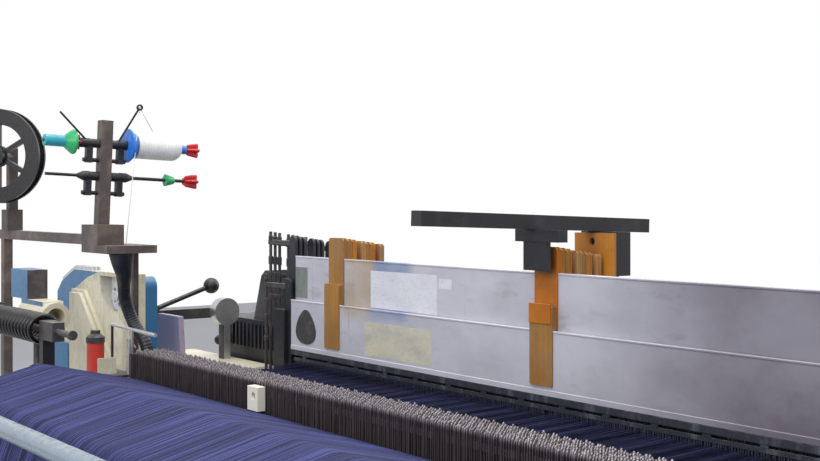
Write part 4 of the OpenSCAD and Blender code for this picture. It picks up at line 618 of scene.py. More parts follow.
@once
def rolled_denim_finish(name):
    """The cloth roll's denim, patterned by object place because the roll has no map."""
    material, tree, surface = shader(name, Roughness=0.8, Sheen_Weight=0.3)
    tint = laid_yarns(tree, 0.0032, (300, 60, 60))["Tint"]
    cover(surface, mixed(ramp(tint, 0.4, 0.65), settings().yarn_blue, (0.11, 0.13, 0.25)), tint, 0.4)
    return material


@once
def stave_finish(name):
    """Anodised stave: brushed along X, cloudy wear, drips that run down, soil on the right, and ochre and blue stains
    near the left strip."""
    grey = settings().stave_grey
    material, tree, surface = shader(name, 0.15)
    x, z = (part_of(place_of(tree), axis) for axis in "XZ")
    cloud = patches(tree, (5, 5, 9), 0.45, 0.22)
    brushed = patches(tree, (6, 60, 260), 0.5, 0.2)
    base = mixed(cloud["Mask"], grey, shade(0.80, grey))
    for marks, amount, colour in ((brushed, 0.18, (0.62, 0.64, 0.70)),
                                  (patches(tree, (42, 3, 2.2), 0.30, 0.07), 0.45, (0.24, 0.28, 0.40)),
                                  (patches(tree, (9, 9, 26), 0.33, 0.12), 0.38, (0.20, 0.20, 0.22))):
        base = mixed(marks["Mask"] * amount, base, colour)
    soil = patches(tree, (2.6, 2.6, 3.5), 0.52, 0.16)["Mask"] * 0.24 + 0.74
    base = mixed(ramp(x, 0.02, 0.62) * soil, base, (0.17, 0.15, 0.19))
    top = ramp(z, 1.165, 1.222)
    for low, high, colour in ((-0.86, -0.66, (0.50, 0.33, 0.13)), (-0.72, -0.50, (0.12, 0.22, 0.46))):
        band = ramp(x, low, low + 0.05).math("SUBTRACT", ramp(x, high - 0.05, high), True)
        base = mixed(band * top * cloud["Fine"], base, colour)
    cover(surface, base, brushed["Fine"], 0.12, 0.0005)
    feed(surface.inputs["Roughness"], spread(brushed["Fine"], 0.30, 0.46))
    return material


@once
def strip_finish(name, tone, grey):
    """Wear strips: plastic that varies from strip to strip along Y, with rubbed grooves and grey dirt down its face."""
    orange = tuple(a * b for a, b in zip(settings().orange, tone))
    material, tree, surface = shader(name, Roughness=0.5)
    grain = patches(tree, (130, 130, 5), 0.45, 0.14)
    dirt = patches(tree, (34, 34, 9), 0.42, 0.16)["Mask"]
    base = mixed(patches(tree, (9, 60, 9), 0.5, 0.2)["Mask"], orange,
                 (orange[0] * 0.7, orange[1] * 0.66, orange[2] * 0.8))
    base = mixed(grain["Mask"] * grey, base, (0.20, 0.13, 0.06))
    base = mixed(dirt * grey, base, (0.26, 0.22, 0.18))
    cover(surface, mixed(lint(tree, 80.0, 0.4), base, (0.6, 0.55, 0.45)), grain["Fine"], 0.3)
    return material


@once
def dropper_finish(name):
    """Drop wires: dark brown-grey steel lower down, with pale lint on the tops."""
    material, tree, surface = shader(name, 0.25, Roughness=0.55)
    steel = mixed(patches(tree, (260, 40, 8), 0.5, 0.16)["Mask"], (0.034, 0.026, 0.027), (0.080, 0.062, 0.063))
    fluff = patches(tree, (150, 150, 90), 0.56, 0.12)["Mask"] * 0.7 + 0.3
    cover(surface, mixed(ramp(part_of(place_of(tree), "Z"), 1.086, 1.104) * fluff, steel, (0.42, 0.38, 0.40)))
    return material


@once
def wound_yarn(name, colour):
    """Yarn wound on a package: fine ridges from a noise drawn out along it, and a soft tint."""
    material, tree, surface = shader(name, Roughness=0.85, Sheen_Weight=0.3)
    wind = patches(tree, (500, 90, 90), 0.5, 0.2)
    base = mixed(patches(tree, (40, 40, 40), 0.4, 0.2)["Mask"], colour, shade(0.88, colour))
    cover(surface, mixed(wind["Mask"] * 0.2, base, shade(0.7, colour)), wind["Fine"], 0.5)
    return material


# Paths of the warp and the cloth, in the Y-Z plane

def run_normal(a, b):
    """Angle of the left-hand normal of the straight run between two circles (y, z, signed radius)."""
    dy, dz = b[0] - a[0], b[1] - a[1]
    return math.atan2(dz, dy) + math.acos((a[2] - b[2]) / math.hypot(dy, dz))


def on_circle(circle_at, angles):
    return np.stack([circle_at[0] + circle_at[2] * np.cos(angles), circle_at[1] + circle_at[2] * np.sin(angles)], -1)


def band_path(circles, straight, arc=16):
    """Points along a band that passes circles: straight tangent runs, and arcs on the circles between them."""
    points = []
    for k, (a, b) in enumerate(zip(circles, circles[1:])):
        n = run_normal(a, b)
        start, end = on_circle(a, n), on_circle(b, n)
        points.append(start + (end - start) * np.linspace(0, 1, straight)[:, None])
        if k + 2 < len(circles):
            m = run_normal(b, circles[k + 2])
            turn = -((n - m) % (2 * math.pi)) if b[2] >= 0 else ((m - n) % (2 * math.pi))
            points.append(on_circle(b, n + turn * np.linspace(0, 1, arc)[1:-1]))
    return np.concatenate(points)


def distances(path):
    """Distance along a path from its start to each of its points."""
    return np.concatenate([[0], np.cumsum(np.linalg.norm(np.diff(path, axis=0), axis=1))])


def sheet_piece(name, path, columns, ridge, material):
    """A thin closed sheet: the path carried along X, moved off along its normal by a low ridge for each group of yarns,
    and closed round its edges. The map runs across and along the sheet in metres."""
    along = np.gradient(path, axis=0)
    normal = unit(np.stack([-along[:, 1], along[:, 0]], -1))
    x = np.linspace(-WARP_HALF, WARP_HALF, columns)
    lift = ridge * (0.5 + 0.5 * np.sin(2 * np.pi * x / 0.011 + 1.3 * np.sin(x * 37))) * (0.7 + 0.3 * np.sin(x * 11.3))
    top = path[:, None] + normal[:, None] * (SHEET_T + lift)[None, :, None]
    layers = [np.concatenate([np.broadcast_to(x[None, :, None], top.shape[:2] + (1,)), yz], -1).reshape(-1, 3)
              for yz in (np.repeat(path[:, None], columns, 1), top)]
    uv = np.stack([np.tile(x, len(path)), np.repeat(distances(path), columns)], -1)
    return put_mesh(name, (np.concatenate(layers), shell_faces(len(path), columns)), material,
                    uv=np.concatenate([uv, uv]))


# Operators, one for each piece or group of like pieces

class LOOM_OT_stage(bpy.types.Operator):
    """Sets the camera, the pale floor, the white surround and the soft lamps"""
    bl_idname = "loom.stage"
    bl_label = "Stage and camera"

    def execute(self, context):
        scene, level = context.scene, context.scene.loom.lamp_level
        scene.view_settings.view_transform = "Standard"
        lens = bpy.data.cameras.new("loom_camera")
        lens.sensor_width, lens.lens = 36.0, 36.0 * FOCAL / PHOTO_W
        lens.shift_y = RISE / PHOTO_W
        lens.clip_end = 60
        camera = bpy.data.objects.new("loom_camera", lens)
        away, up = Vector(VIEW), Vector((0, 0, 1))
        turn = Matrix((away.cross(up), up, -away)).transposed().to_4x4()
        camera.matrix_world = Matrix.Translation(EYE) @ turn
        context.collection.objects.link(camera)
        scene.camera = camera

        scene.world = bpy.data.worlds.new("studio")
        scene.world.use_nodes = True
        tree = scene.world.node_tree
        tree.nodes.clear()
        ray = add(tree, "ShaderNodeLightPath")
        through = output(ray, "Is Glossy Ray").math("MAXIMUM", output(ray, "Is Transmission Ray"))
        seen = output(ray, "Is Camera Ray").math("MAXIMUM", through)
        soft = add(tree, "ShaderNodeBackground", {"Color": (0.86, 0.90, 1.0, 1.0), "Strength": 0.42 * level})
        white = add(tree, "ShaderNodeBackground", {"Color": (1.0, 1.0, 1.0, 1.0), "Strength": 1.0})
        both = add(tree, "ShaderNodeMixShader", {0: seen, 1: output(soft), 2: output(white)})
        feed(add(tree, "ShaderNodeOutputWorld").inputs[0], output(both))

        for name, spot, aim, size, power, colour in (
                ("ceiling_lamp", (-0.3, -0.2, 4.6), (0, 0.1, 1.0), (6.0, 3.6), 210, (1.0, 0.98, 0.95)),
                ("warp_side_lamp", (1.4, -4.2, 3.0), (0, 0.1, 1.0), (3.5, 2.2), 95, (0.95, 0.97, 1.0)),
                ("cloth_side_lamp", (-1.2, 4.6, 3.2), (0, 0.2, 0.8), (3.5, 2.2), 70, (1.0, 0.97, 0.93))):
            light = bpy.data.lights.new(name, "AREA")
            light.shape, light.size, light.size_y = "RECTANGLE", *size
            light.energy, light.color = power * level, colour
            lamp = bpy.data.objects.new(name, light)
            lamp.location = spot
            lamp.rotation_euler = (Vector(aim) - Vector(spot)).to_track_quat("-Z", "Y").to_euler()
            context.collection.objects.link(lamp)

        material, ground, surface = shader("pale_floor", Roughness=0.7)
        cover(surface, mixed(patches(ground, (0.8, 0.8, 0.8), 0.5, 0.3)["Mask"], (0.80,) * 3, (0.84,) * 3))
        x, y = np.meshgrid(*[np.linspace(-14, 14, 9)] * 2, indexing="ij")
        points = np.stack([x, y, np.full_like(x, -0.0005)], -1)
        put_mesh("pale_floor", (points, [grid_faces(9, 9)]), material, smooth=False)
        return {"FINISHED"}


class LOOM_OT_castings(bpy.types.Operator):
    """Dresses side frames, cross tubes, feet, brackets, guides and other rigid parts with worn paint and soft edges"""
    bl_idname = "loom.castings"
    bl_label = "Castings and brackets"

    def execute(self, context):
        def on_hand_rail(x, y, z):
            return (z > 1.12) & (abs(x + 1.292) > 0.006)
        for row in (("left_side_frame_casting", "left_side_frame", "grey_green_paint", "frame_paint", ROOT, 0.003),
                    ("right_side_frame_casting", "right_side_frame", "grey_green_paint", "frame_paint", ROOT, 0.003),
                    ("cross_tubes_casting", "cross_tubes", "grey_green_paint", "frame_paint", ROOT, 0.003),
                    ("foot_plates", "floor_feet", "oiled_dark_metal", "dark_paint", ROOT, 0.002),
                    ("bearing_caps", "beam_bearings", "dark_cast_iron", "cast_parts", ROOT, 0.002),
                    ("rest_brackets", "back_rest_brackets", "black_enamel", "dark_paint", ROOT, 0.003),
                    ("rest_arms", "back_rest_arms", "oiled_dark_metal", "dark_paint", "back_rest", 0.002),
                    ("spring_rod", "tie_rod", "oiled_dark_metal", "dark_paint"),
                    ("frame_guides", "heald_guides", "black_enamel", "black_paint", ROOT, 0.0012),
                    ("drop_wire_rails", "dropper_rails", "oiled_dark_metal", "bare_steel", ROOT, 0.0006,
                     [("bare_steel", on_hand_rail)]),
                    ("warp_parting_block", "dropper_separator", "cream_plastic", "cream_plastic", ROOT, 0.003),
                    ("let_off_drive", "let_off_motor", "oiled_dark_metal", "dark_paint", ROOT, 0.002),
                    ("let_off_gear", "let_off_pinion", "bare_steel", "bare_steel", "let_off_pinion", 0.0008),
                    ("beam_drive_gear", "beam_gear", "dark_cast_iron", "cast_parts", "warp_beam", 0.0008),
                    ("cloth_width_holders", "temples", "bare_steel", "bare_steel", ROOT, 0.002)):
            dressed(*row)
        return {"FINISHED"}


class LOOM_OT_rollers(bpy.types.Operator):
    """Dresses the beam, its flanges and the rollers of the warp and the cloth"""
    bl_idname = "loom.rollers"
    bl_label = "Beam and rollers"

    def execute(self, context):
        for row in (("beam_barrel", "warp_beam_barrel", "bare_steel", "bare_steel", "warp_beam", 0.002),
                    ("beam_flanges", "warp_beam_flanges", "machined_alloy", "flange_alloy", "warp_beam", 0.003),
                    ("chromed_deflection_roller", "deflection_roller", "chromed_roller", "roller_chrome",
                     "deflection_roller", 0.002),
                    ("chromed_whip_roller", "whip_roller", "chromed_roller", "roller_chrome", "whip_roller", 0.002),
                    ("rear_guard_tube", "guard_tube", "guard_tube_paint", "guard_paint", ROOT, 0.001),
                    ("rough_take_up_roller", "take_up_roller", "dark_cast_iron", "cast_parts", "take_up_roller", 0.002),
                    ("rubber_press_roller", "press_roller", "dark_cast_iron", "cast_parts", "press_roller", 0.002)):
            dressed(*row)
        return {"FINISHED"}


class LOOM_OT_wound_yarn(bpy.types.Operator):
    """Winds the warp on its beam and the cloth on its roll: drums whose radius follows waves across X"""
    bl_idname = "loom.wound_yarn"
    bl_label = "Wound warp and cloth roll"

    def execute(self, context):
        along_x = (1, 0, 0)
        x = np.linspace(-WARP_HALF - 0.004, WARP_HALF + 0.004, 700)
        ridge = 0.0010 * np.sin(2 * np.pi * x / 0.0125 + np.sin(x * 41))
        profile = np.column_stack([x, BEAM_R - 0.0012 + ridge])
        drum = put_mesh("wound_warp_yarn", lathe(profile, (0, *BEAM), along_x, 96), yarn_finish("indigo_warp", 1.0),
                        "warp_beam", "warp_yarn")
        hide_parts("wound_warp")

        rim = [(-WARP_HALF - 0.04, 0.040), (-WARP_HALF - 0.0001, 0.040), (-WARP_HALF, CLOTH_ROLL_R - 0.002),
               (-WARP_HALF + 0.002, CLOTH_ROLL_R)]
        across = np.linspace(-WARP_HALF + 0.01, WARP_HALF - 0.01, 60)
        windings = np.column_stack([across, CLOTH_ROLL_R - 0.0006 * (1 + np.sin(9 * across))])
        profile = np.concatenate([rim, windings, [(-a, b) for a, b in rim[::-1]]])
        roll = put_mesh("cloth_roll_windings", lathe(profile, (0, *CLOTH_ROLL), along_x, 96),
                        rolled_denim_finish("rolled_denim"), "cloth_roll", "denim")
        shaft = [(-1.259, 0.013), (-1.257, 0.015), (1.257, 0.015), (1.259, 0.013)]
        put_mesh("cloth_roll_shaft", lathe(shaft, (0, *CLOTH_ROLL), along_x, 32), paint("bare_steel"), "cloth_roll",
                 "bare_steel")
        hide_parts("cloth_roll")
        return {"FINISHED"}


class LOOM_OT_warp_sheet(bpy.types.Operator):
    """Lays the warp from the beam over both rollers to the drop wires, in two sheets that meet on the whip roller"""
    bl_idname = "loom.warp_sheet"
    bl_label = "Warp sheet"

    def execute(self, context):
        path = band_path([(*BEAM, BEAM_R + GAP), (*DEFLECT, DEFLECT_R + GAP), (*WHIP, WHIP_R + GAP),
                          (-DROPPER_BACK, WARP_Z, 0.0)], 12)
        top = int(np.argmax(path[:, 1]))
        for name, part, start in (("warp_to_whip_roller", path[:top + 1], (0, *DEFLECT)),
                                  ("warp_to_drop_wires", path[top:], (0, -DROPPER_BACK, WARP_Z))):
            sheet = sheet_piece(name, part, 900, 0.0007, yarn_finish("indigo_warp", 1.0))
            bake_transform(sheet)
            if name == "warp_to_whip_roller":
                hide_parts("rear_warp_sheet")
        return {"FINISHED"}


class LOOM_OT_drop_wires(bpy.types.Operator):
    """Hangs the drop wires in rows: thin plates with round tops, each a little higher or lower than the next"""
    bl_idname = "loom.drop_wires"
    bl_label = "Drop wires"

    def execute(self, context):
        count = context.scene.loom.dropper_count
        x = np.linspace(-DROPPER_HALF + 0.004, DROPPER_HALF - 0.004, count)
        half, height = 0.0036, DROPPER_TOP - DROPPER_LOW
        plate = prism([(-half, 0), (half, 0), (half, height - 0.010), (half * 0.72, height - 0.003), (0, height),
                       (-half * 0.72, height - 0.003), (-half, height - 0.010)], -0.0014, 0.0014)
        for row in range(DROPPER_ROWS):
            y = -DROPPER_BACK + 0.003 + row * DROPPER_PITCH
            drop = -0.0035 * ((np.arange(count) * 5 + row * 2) % 4) / 3 * 1.4 - rng.uniform(0, 0.003, count)
            sway = rng.uniform(-0.0012, 0.0012, count)
            places = np.column_stack([x + rng.uniform(-0.0008, 0.0008, count), y + sway, DROPPER_LOW + drop])
            sizes = np.column_stack([rng.uniform(0.7, 1.25, count), rng.uniform(0.85, 1.1, count), np.ones(count)])
            wires = put_mesh(f"drop_wires_{row + 1}", repeated(plate, places, sizes), dropper_finish("drop_wire_steel"),
                             ROOT, "dropper_steel", smooth=False)
            if row == 0:
                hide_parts("droppers")
        return {"FINISHED"}


class HealdFrame:
    """Heights of one heald frame and its pieces, each put on the frame's body"""

    def __init__(self, i):
        self.i, self.body = i, f"heald_frame_{i:02d}"
        self.y, self.eye, self.t = frame_y(i), eye_z(i), STAVE_T / 2
        self.base = self.eye + EYE_TO_STAVE
        self.low = self.eye - EYE_TO_STAVE - LOWER_STAVE_H
        self.top = self.base + STAVE_H

    def put(self, name, form, material, **more):
        return put_mesh(f"{name}_{self.i:02d}", form, material, self.body, "stave_alloy", **more)

    def stave(self, z0, z1, foot):
        """A stave with flat walls, a bead along its foot and a rounded head; the walls mirror each other."""
        t = self.t
        wall = [(t, z0), (t, z0 + foot), (t * 0.72, z0 + foot + 0.0015), (t * 0.72, z1 - 0.006), (t, z1 - 0.0045),
                (t, z1 - 0.0015), (t * 0.6, z1)]
        outline = [(self.y - a, b) for a, b in wall[:1]] + [(self.y + a, b) for a, b in wall]
        outline += [(self.y - a, b) for a, b in wall[:0:-1]]
        reach = FRAME_HALF - BRACE_W
        return prism(outline, -reach, reach)

    def staves(self):
        self.put("staves", joined(self.stave(self.base, self.top, 0.012),
                                  self.stave(self.low, self.low + LOWER_STAVE_H, 0.008)),
                 stave_finish("anodised_stave"), smooth=False)
        face = self.y - 0.72 * self.t
        labels = [block((x0, face - 0.0003, z0), (x1, face + 0.0004, z1), 0.0001)
                  for number, x0, x1, z0, z1 in STICKERS if number == self.i]
        if labels:
            self.put("blank_stickers", joined(*labels), paint("yellowed_sticker" if self.i == 1 else "pale_sticker"),
                     smooth=False)

    def rails_and_healds(self, count):
        """Heald rails, their hooks and bars, and healds with an eye: thin strips that widen in the middle."""
        y, lower = self.y, self.low + LOWER_STAVE_H
        hang = self.base - 0.034
        rails = []
        for z, reach, thick, deep, cut in ((self.base - 0.018, 0.02, 0.004, 0.018, 0.002),
                                           (lower, 0.02, 0.004, 0.018, 0.002),
                                           (hang, 0.008, 0.0015, 0.010, 0.0004),
                                           (2 * self.eye - hang - 0.010, 0.008, 0.0015, 0.010, 0.0004)):
            rails.append(block((-WARP_HALF - reach, y - thick, z), (WARP_HALF + reach, y + thick, z + deep), cut))
        hook = block((-0.010, -0.0022, 0), (0.010, 0.0022, 0.008), 0.0006)
        places = np.linspace(-0.95, 0.95, 16) * WARP_HALF
        rails += [in_row(hook, places, y, z) for z in (self.base - 0.0245, lower + 0.0170)]
        self.put("heald_rails", joined(*rails), paint("dark_heald_rail"), smooth=False)

        x = np.linspace(-WARP_HALF + 0.004, WARP_HALF - 0.004, count) + 0.0009 * (self.i - 5)
        x = np.clip(x + rng.uniform(-0.0012, 0.0012, count), -WARP_HALF, WARP_HALF)
        reach = hang - self.eye + 0.004
        right = [(0.0016, -reach), (0.0016, -0.012), (0.0024, 0), (0.0016, 0.012), (0.0016, reach)]
        strip = prism(right + [(-a, b) for a, b in right[::-1]], -0.0007, 0.0007, "y")
        self.put("healds", in_row(strip, x[abs(x - BLADE_X) > 0.006], y, self.eye), paint("heald_wire_steel"),
                 smooth=False)

    def braces(self):
        """End braces: straight bars with a half circle on top."""
        middle, top = FRAME_HALF - BRACE_W / 2, self.top + BRACE_RISE - BRACE_W / 2
        angle = np.linspace(0, np.pi, 13)
        head = np.column_stack([BRACE_W / 2 * np.cos(angle), BRACE_W / 2 * np.sin(angle)])
        bars = [prism([(x + BRACE_W / 2, self.low), *(head + (x, top)), (x - BRACE_W / 2, self.low)],
                      self.y - self.t, self.y + self.t, "y") for x in (-middle, middle)]
        ends = self.put("end_braces", joined(*bars), paint("black_enamel"), sharp=40)
        soften(ends, 0.0012)
        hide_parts(self.body)

    def lifter(self):
        """Lifting rod with collars, and the yoke with its nut that joins it to the frame."""
        yoke, up, y = self.top + YOKE_RISE, (0, 0, 1), self.y
        rod = lathe([(0, ROD_R * 0.7), (0.002, ROD_R), (ROD_DROP - 0.001, ROD_R), (ROD_DROP, ROD_R * 0.7)],
                    (-LIFT_X, y, yoke - ROD_DROP), up, 14)
        arm = block((-LIFT_X - 0.009, y - 0.004, yoke), (-FRAME_HALF + 0.004, y + 0.004, yoke + 0.016), 0.0015)
        nut = lathe([(0, 0.0062), (0.001, 0.007), (0.012, 0.007), (0.013, 0.0052), (0.025, 0.0052), (0.026, 0.0042)],
                    (-LIFT_X, y, yoke + 0.016), up, 6)
        collars = [lathe([(0, 0.006), (0.001, 0.0072), (0.013, 0.0072), (0.014, 0.006)], (-LIFT_X, y, yoke - down), up,
                         12) for down in (0.05, 0.062, 0.10, 0.17)]
        self.put("lifting_rod", joined(rod, arm, nut, *collars), paint("oiled_dark_metal"), sharp=40)

    def tone(self, place):
        """Finish of a wear strip: brown on the left and on the first frame, bright in the middle of the second."""
        if place == "middle" and self.i == 2:
            return "bright_wear_strip"
        if self.i == 1 or (place == "left" and self.i < 4) or self.i % 4 == 3:
            return "brown_wear_strip"
        return "tan_wear_strip" if self.i % 4 == 2 else "orange_wear_strip"

    def wear_strips(self):
        """Wear strips on both faces with cut corners, a filling above the stave, and a pad on the first frame."""
        y, t, w = self.y, self.t, STRIP_W / 2
        z0, z1 = self.base + 0.022, self.top + 0.06
        for place, x in zip(("left", "middle", "right"), STRIP_X):
            outline = [(x - w, z0 + 0.003), (x - w + 0.003, z0), (x + w - 0.003, z0), (x + w, z0 + 0.003),
                       (x + w, z1 - 0.006), (x + w - 0.006, z1), (x - w + 0.006, z1), (x - w, z1 - 0.006)]
            plates = [prism(outline, y0, y1, "y") for y0, y1 in ((y - STRIP_T / 2, y - t + 0.0001),
                                                                (y + t - 0.0001, y + STRIP_T / 2))]
            filling = block((x - w + 0.002, y - t, self.top), (x + w - 0.002, y + t, self.top + 0.057))
            self.put(f"wear_strip_{place}", joined(*plates, filling), paint(self.tone(place)), smooth=False)
        if self.i == 1:
            x, face = STRIP_X[1], y - STRIP_T / 2
            pad = block((x - w, face - 0.0025, PAD_FOOT), (x + w - 0.003, face + 0.0005, self.top + 0.062), 0.001)
            put_mesh("front_wear_pad", pad, paint("bright_wear_strip"), self.body, "stave_alloy", smooth=False)

    def end_plate(self):
        """Thin plate on the left end of a front stave: pear-shaped on the first frame and square on the second. The
        pear's half width grows with the sine of the angle from its top to its foot."""
        front, back = self.y - self.t - 0.0015, self.y - 0.72 * self.t + 0.0004
        if self.i == 1:
            angle = np.linspace(0, 2 * np.pi, 49)[:-1]
            half = 0.052 - 0.018 * np.sin(angle)
            pear = np.column_stack([-1.024 + half * np.cos(angle), 1.146 + 0.052 * np.sin(angle)])
            ring = lathe([(0, 0.0070), (0.001, 0.0085), (0.002, 0.0085)], (-0.999, self.y - self.t - 0.0030, 1.156),
                         (0, 1, 0), 24)
            form, finish = joined(prism(pear, front, back, "y"), ring), "oiled_dark_metal"
        else:
            form, finish = block((-1.106, front, 1.232), (-1.042, back, 1.324), 0.001), "grey_green_paint"
        self.put("stave_end_plate", form, paint(finish), smooth=False)


class LOOM_OT_heald_frames(bpy.types.Operator):
    """Makes each heald frame: staves with a dark rail, round-topped braces, wear strips, healds and lifting rod"""
    bl_idname = "loom.heald_frames"
    bl_label = "Heald frames"

    def execute(self, context):
        for i in range(1, FRAME_COUNT + 1):
            heald_frame = HealdFrame(i)
            heald_frame.staves()
            heald_frame.rails_and_healds(context.scene.loom.heald_count)
            heald_frame.braces()
            heald_frame.lifter()
            heald_frame.wear_strips()
            if i < 3:
                heald_frame.end_plate()
        return {"FINISHED"}


class LOOM_OT_shed_yarns(bpy.types.Operator):
    """Draws the yarns of each frame from the drop wires to its eyes and on to the cloth"""
    bl_idname = "loom.shed_yarns"
    bl_label = "Shed yarns"

    def execute(self, context):
        step = context.scene.loom.yarn_step
        start = (-DROPPER_BACK + 5 * DROPPER_PITCH + 0.006, WARP_Z)
        ring = np.array([(-1.5, 0), (0, -1.5), (1.5, 0), (0, 1.5)]) * 0.0005
        t = np.linspace(0, 1, 9)
        for i in range(1, FRAME_COUNT + 1):
            eye = (frame_y(i), eye_z(i))
            x = np.arange(-WARP_HALF + 0.004 + step / FRAME_COUNT * ((i * 3) % FRAME_COUNT), WARP_HALF - 0.003, step)
            x = x[abs(x - BLADE_X) > 0.007]
            for part, (y0, z0), (y1, z1) in (("rear", start, eye), ("front", eye, (FELL_Y, FELL_Z))):
                points = np.empty((len(t), 4, 3))
                points[..., 0] = ring[None, :, 0]
                points[..., 1] = (y0 + (y1 - y0) * t)[:, None]
                points[..., 2] = (z0 + (z1 - z0) * t)[:, None] + ring[None, :, 1]
                # Painted shade: the shed yarns take the warp's colours darkened to 0.42, standing in for the shade
                # inside the shed.
                yarns = put_mesh(f"shed_yarns_{part}_{i:02d}", in_row(outward(ring_form(points)), x),
                                 yarn_finish("shed_indigo", 0.42), smooth=False)
                held, moved = (y0, y1) if part == "rear" else (y1, y0)
                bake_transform(yarns)
                if i == 1 and part == "rear":
                    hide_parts("shed_yarns")
        return {"FINISHED"}


class LOOM_OT_centre_guide(bpy.types.Operator):
    """Dresses the arm over the frames with its pads, orange plate and stand"""
    bl_idname = "loom.centre_guide"
    bl_label = "Centre guide"

    def execute(self, context):
        dressed("guide_arm", "centre_arm", "black_enamel", "black_paint", width=0.003)
        dressed("guide_stand", "centre_stand", "black_enamel", "black_paint", width=0.002)
        dressed("guide_pads", "centre_pads", "black_enamel", "orange_plastic", width=0.002,
                others=[("orange_wear_strip", lambda x, y, z: y > 0.45)])
        return {"FINISHED"}


class LOOM_OT_sley(bpy.types.Operator):
    """Dresses the sley and fills the reed with fine dents between its two rails"""
    bl_idname = "loom.sley"
    bl_label = "Sley and reed"

    def execute(self, context):
        dressed("sley_beam", "sley", "machined_alloy", "sley_alloy", "sley")
        (x0, y0, z0), (x1, y1, z1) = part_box("reed")
        x = np.arange(x0 + 0.004, x1 - 0.004, 0.0062)
        dent = block((-0.0004, y0 + 0.001, z0 + 0.012), (0.0004, y1 - 0.001, z1 - 0.012), 0.0001)
        forms = [in_row(dent, x[abs(x - BLADE_X) > 0.004])]
        forms += [block((x0, y0, foot), (x1, y1, head), 0.002) for foot, head in ((z0, z0 + 0.013), (z1 - 0.013, z1))]
        forms += [block((end, y0, z0 + 0.012), (end + 0.006, y1, z1 - 0.012), 0.001) for end in (x0, x1 - 0.006)]
        reed = put_mesh("reed_dents", joined(*forms), paint("bare_steel"), "sley", "bare_steel", smooth=False)
        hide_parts("reed")
        return {"FINISHED"}


class LOOM_OT_cloth(bpy.types.Operator):
    """Lays the woven cloth from the reed over the breast tube and the rollers to its roll"""
    bl_idname = "loom.cloth"
    bl_label = "Cloth"

    def execute(self, context):
        dressed("breast_tube", "breast_beam", "machined_alloy", "sley_alloy", width=0.002)
        path = band_path([(FELL_Y, FELL_Z, 0.0), (*BREAST, BREAST_R + GAP), (*TAKE_UP, TAKE_UP_R + GAP),
                          (*PRESS, -PRESS_R - GAP - SHEET_T), (*CLOTH_ROLL, -CLOTH_ROLL_R - GAP - SHEET_T)], 14)
        cloth = sheet_piece("woven_denim", path, 300, 0.0, denim_finish("denim_twill"))
        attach(cloth, ROOT)
        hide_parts("cloth_sheet")
        return {"FINISHED"}


class LOOM_OT_spring(bpy.types.Operator):
    """Coils the back rest's spring: a round wire carried along a helix round X"""
    bl_idname = "loom.spring"
    bl_label = "Coil spring"

    def execute(self, context):
        angle = np.linspace(0, 2 * np.pi * SPRING_TURNS, SPRING_TURNS * 28)
        travel = (SPRING_LENGTH - 2 * SPRING_WIRE) * angle / angle[-1] + SPRING_WIRE
        path = np.column_stack([SPRING_START - travel, SPRING_Y + SPRING_MEAN_R * np.cos(angle),
                                SPRING_Z + SPRING_MEAN_R * np.sin(angle)])
        coil = put_mesh("coiled_spring", tube(path, SPRING_WIRE, up=(1, 0, 0)), paint("gloss_black_spring"), ROOT,
                        "spring_steel")
        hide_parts("coil_spring")
        return {"FINISHED"}


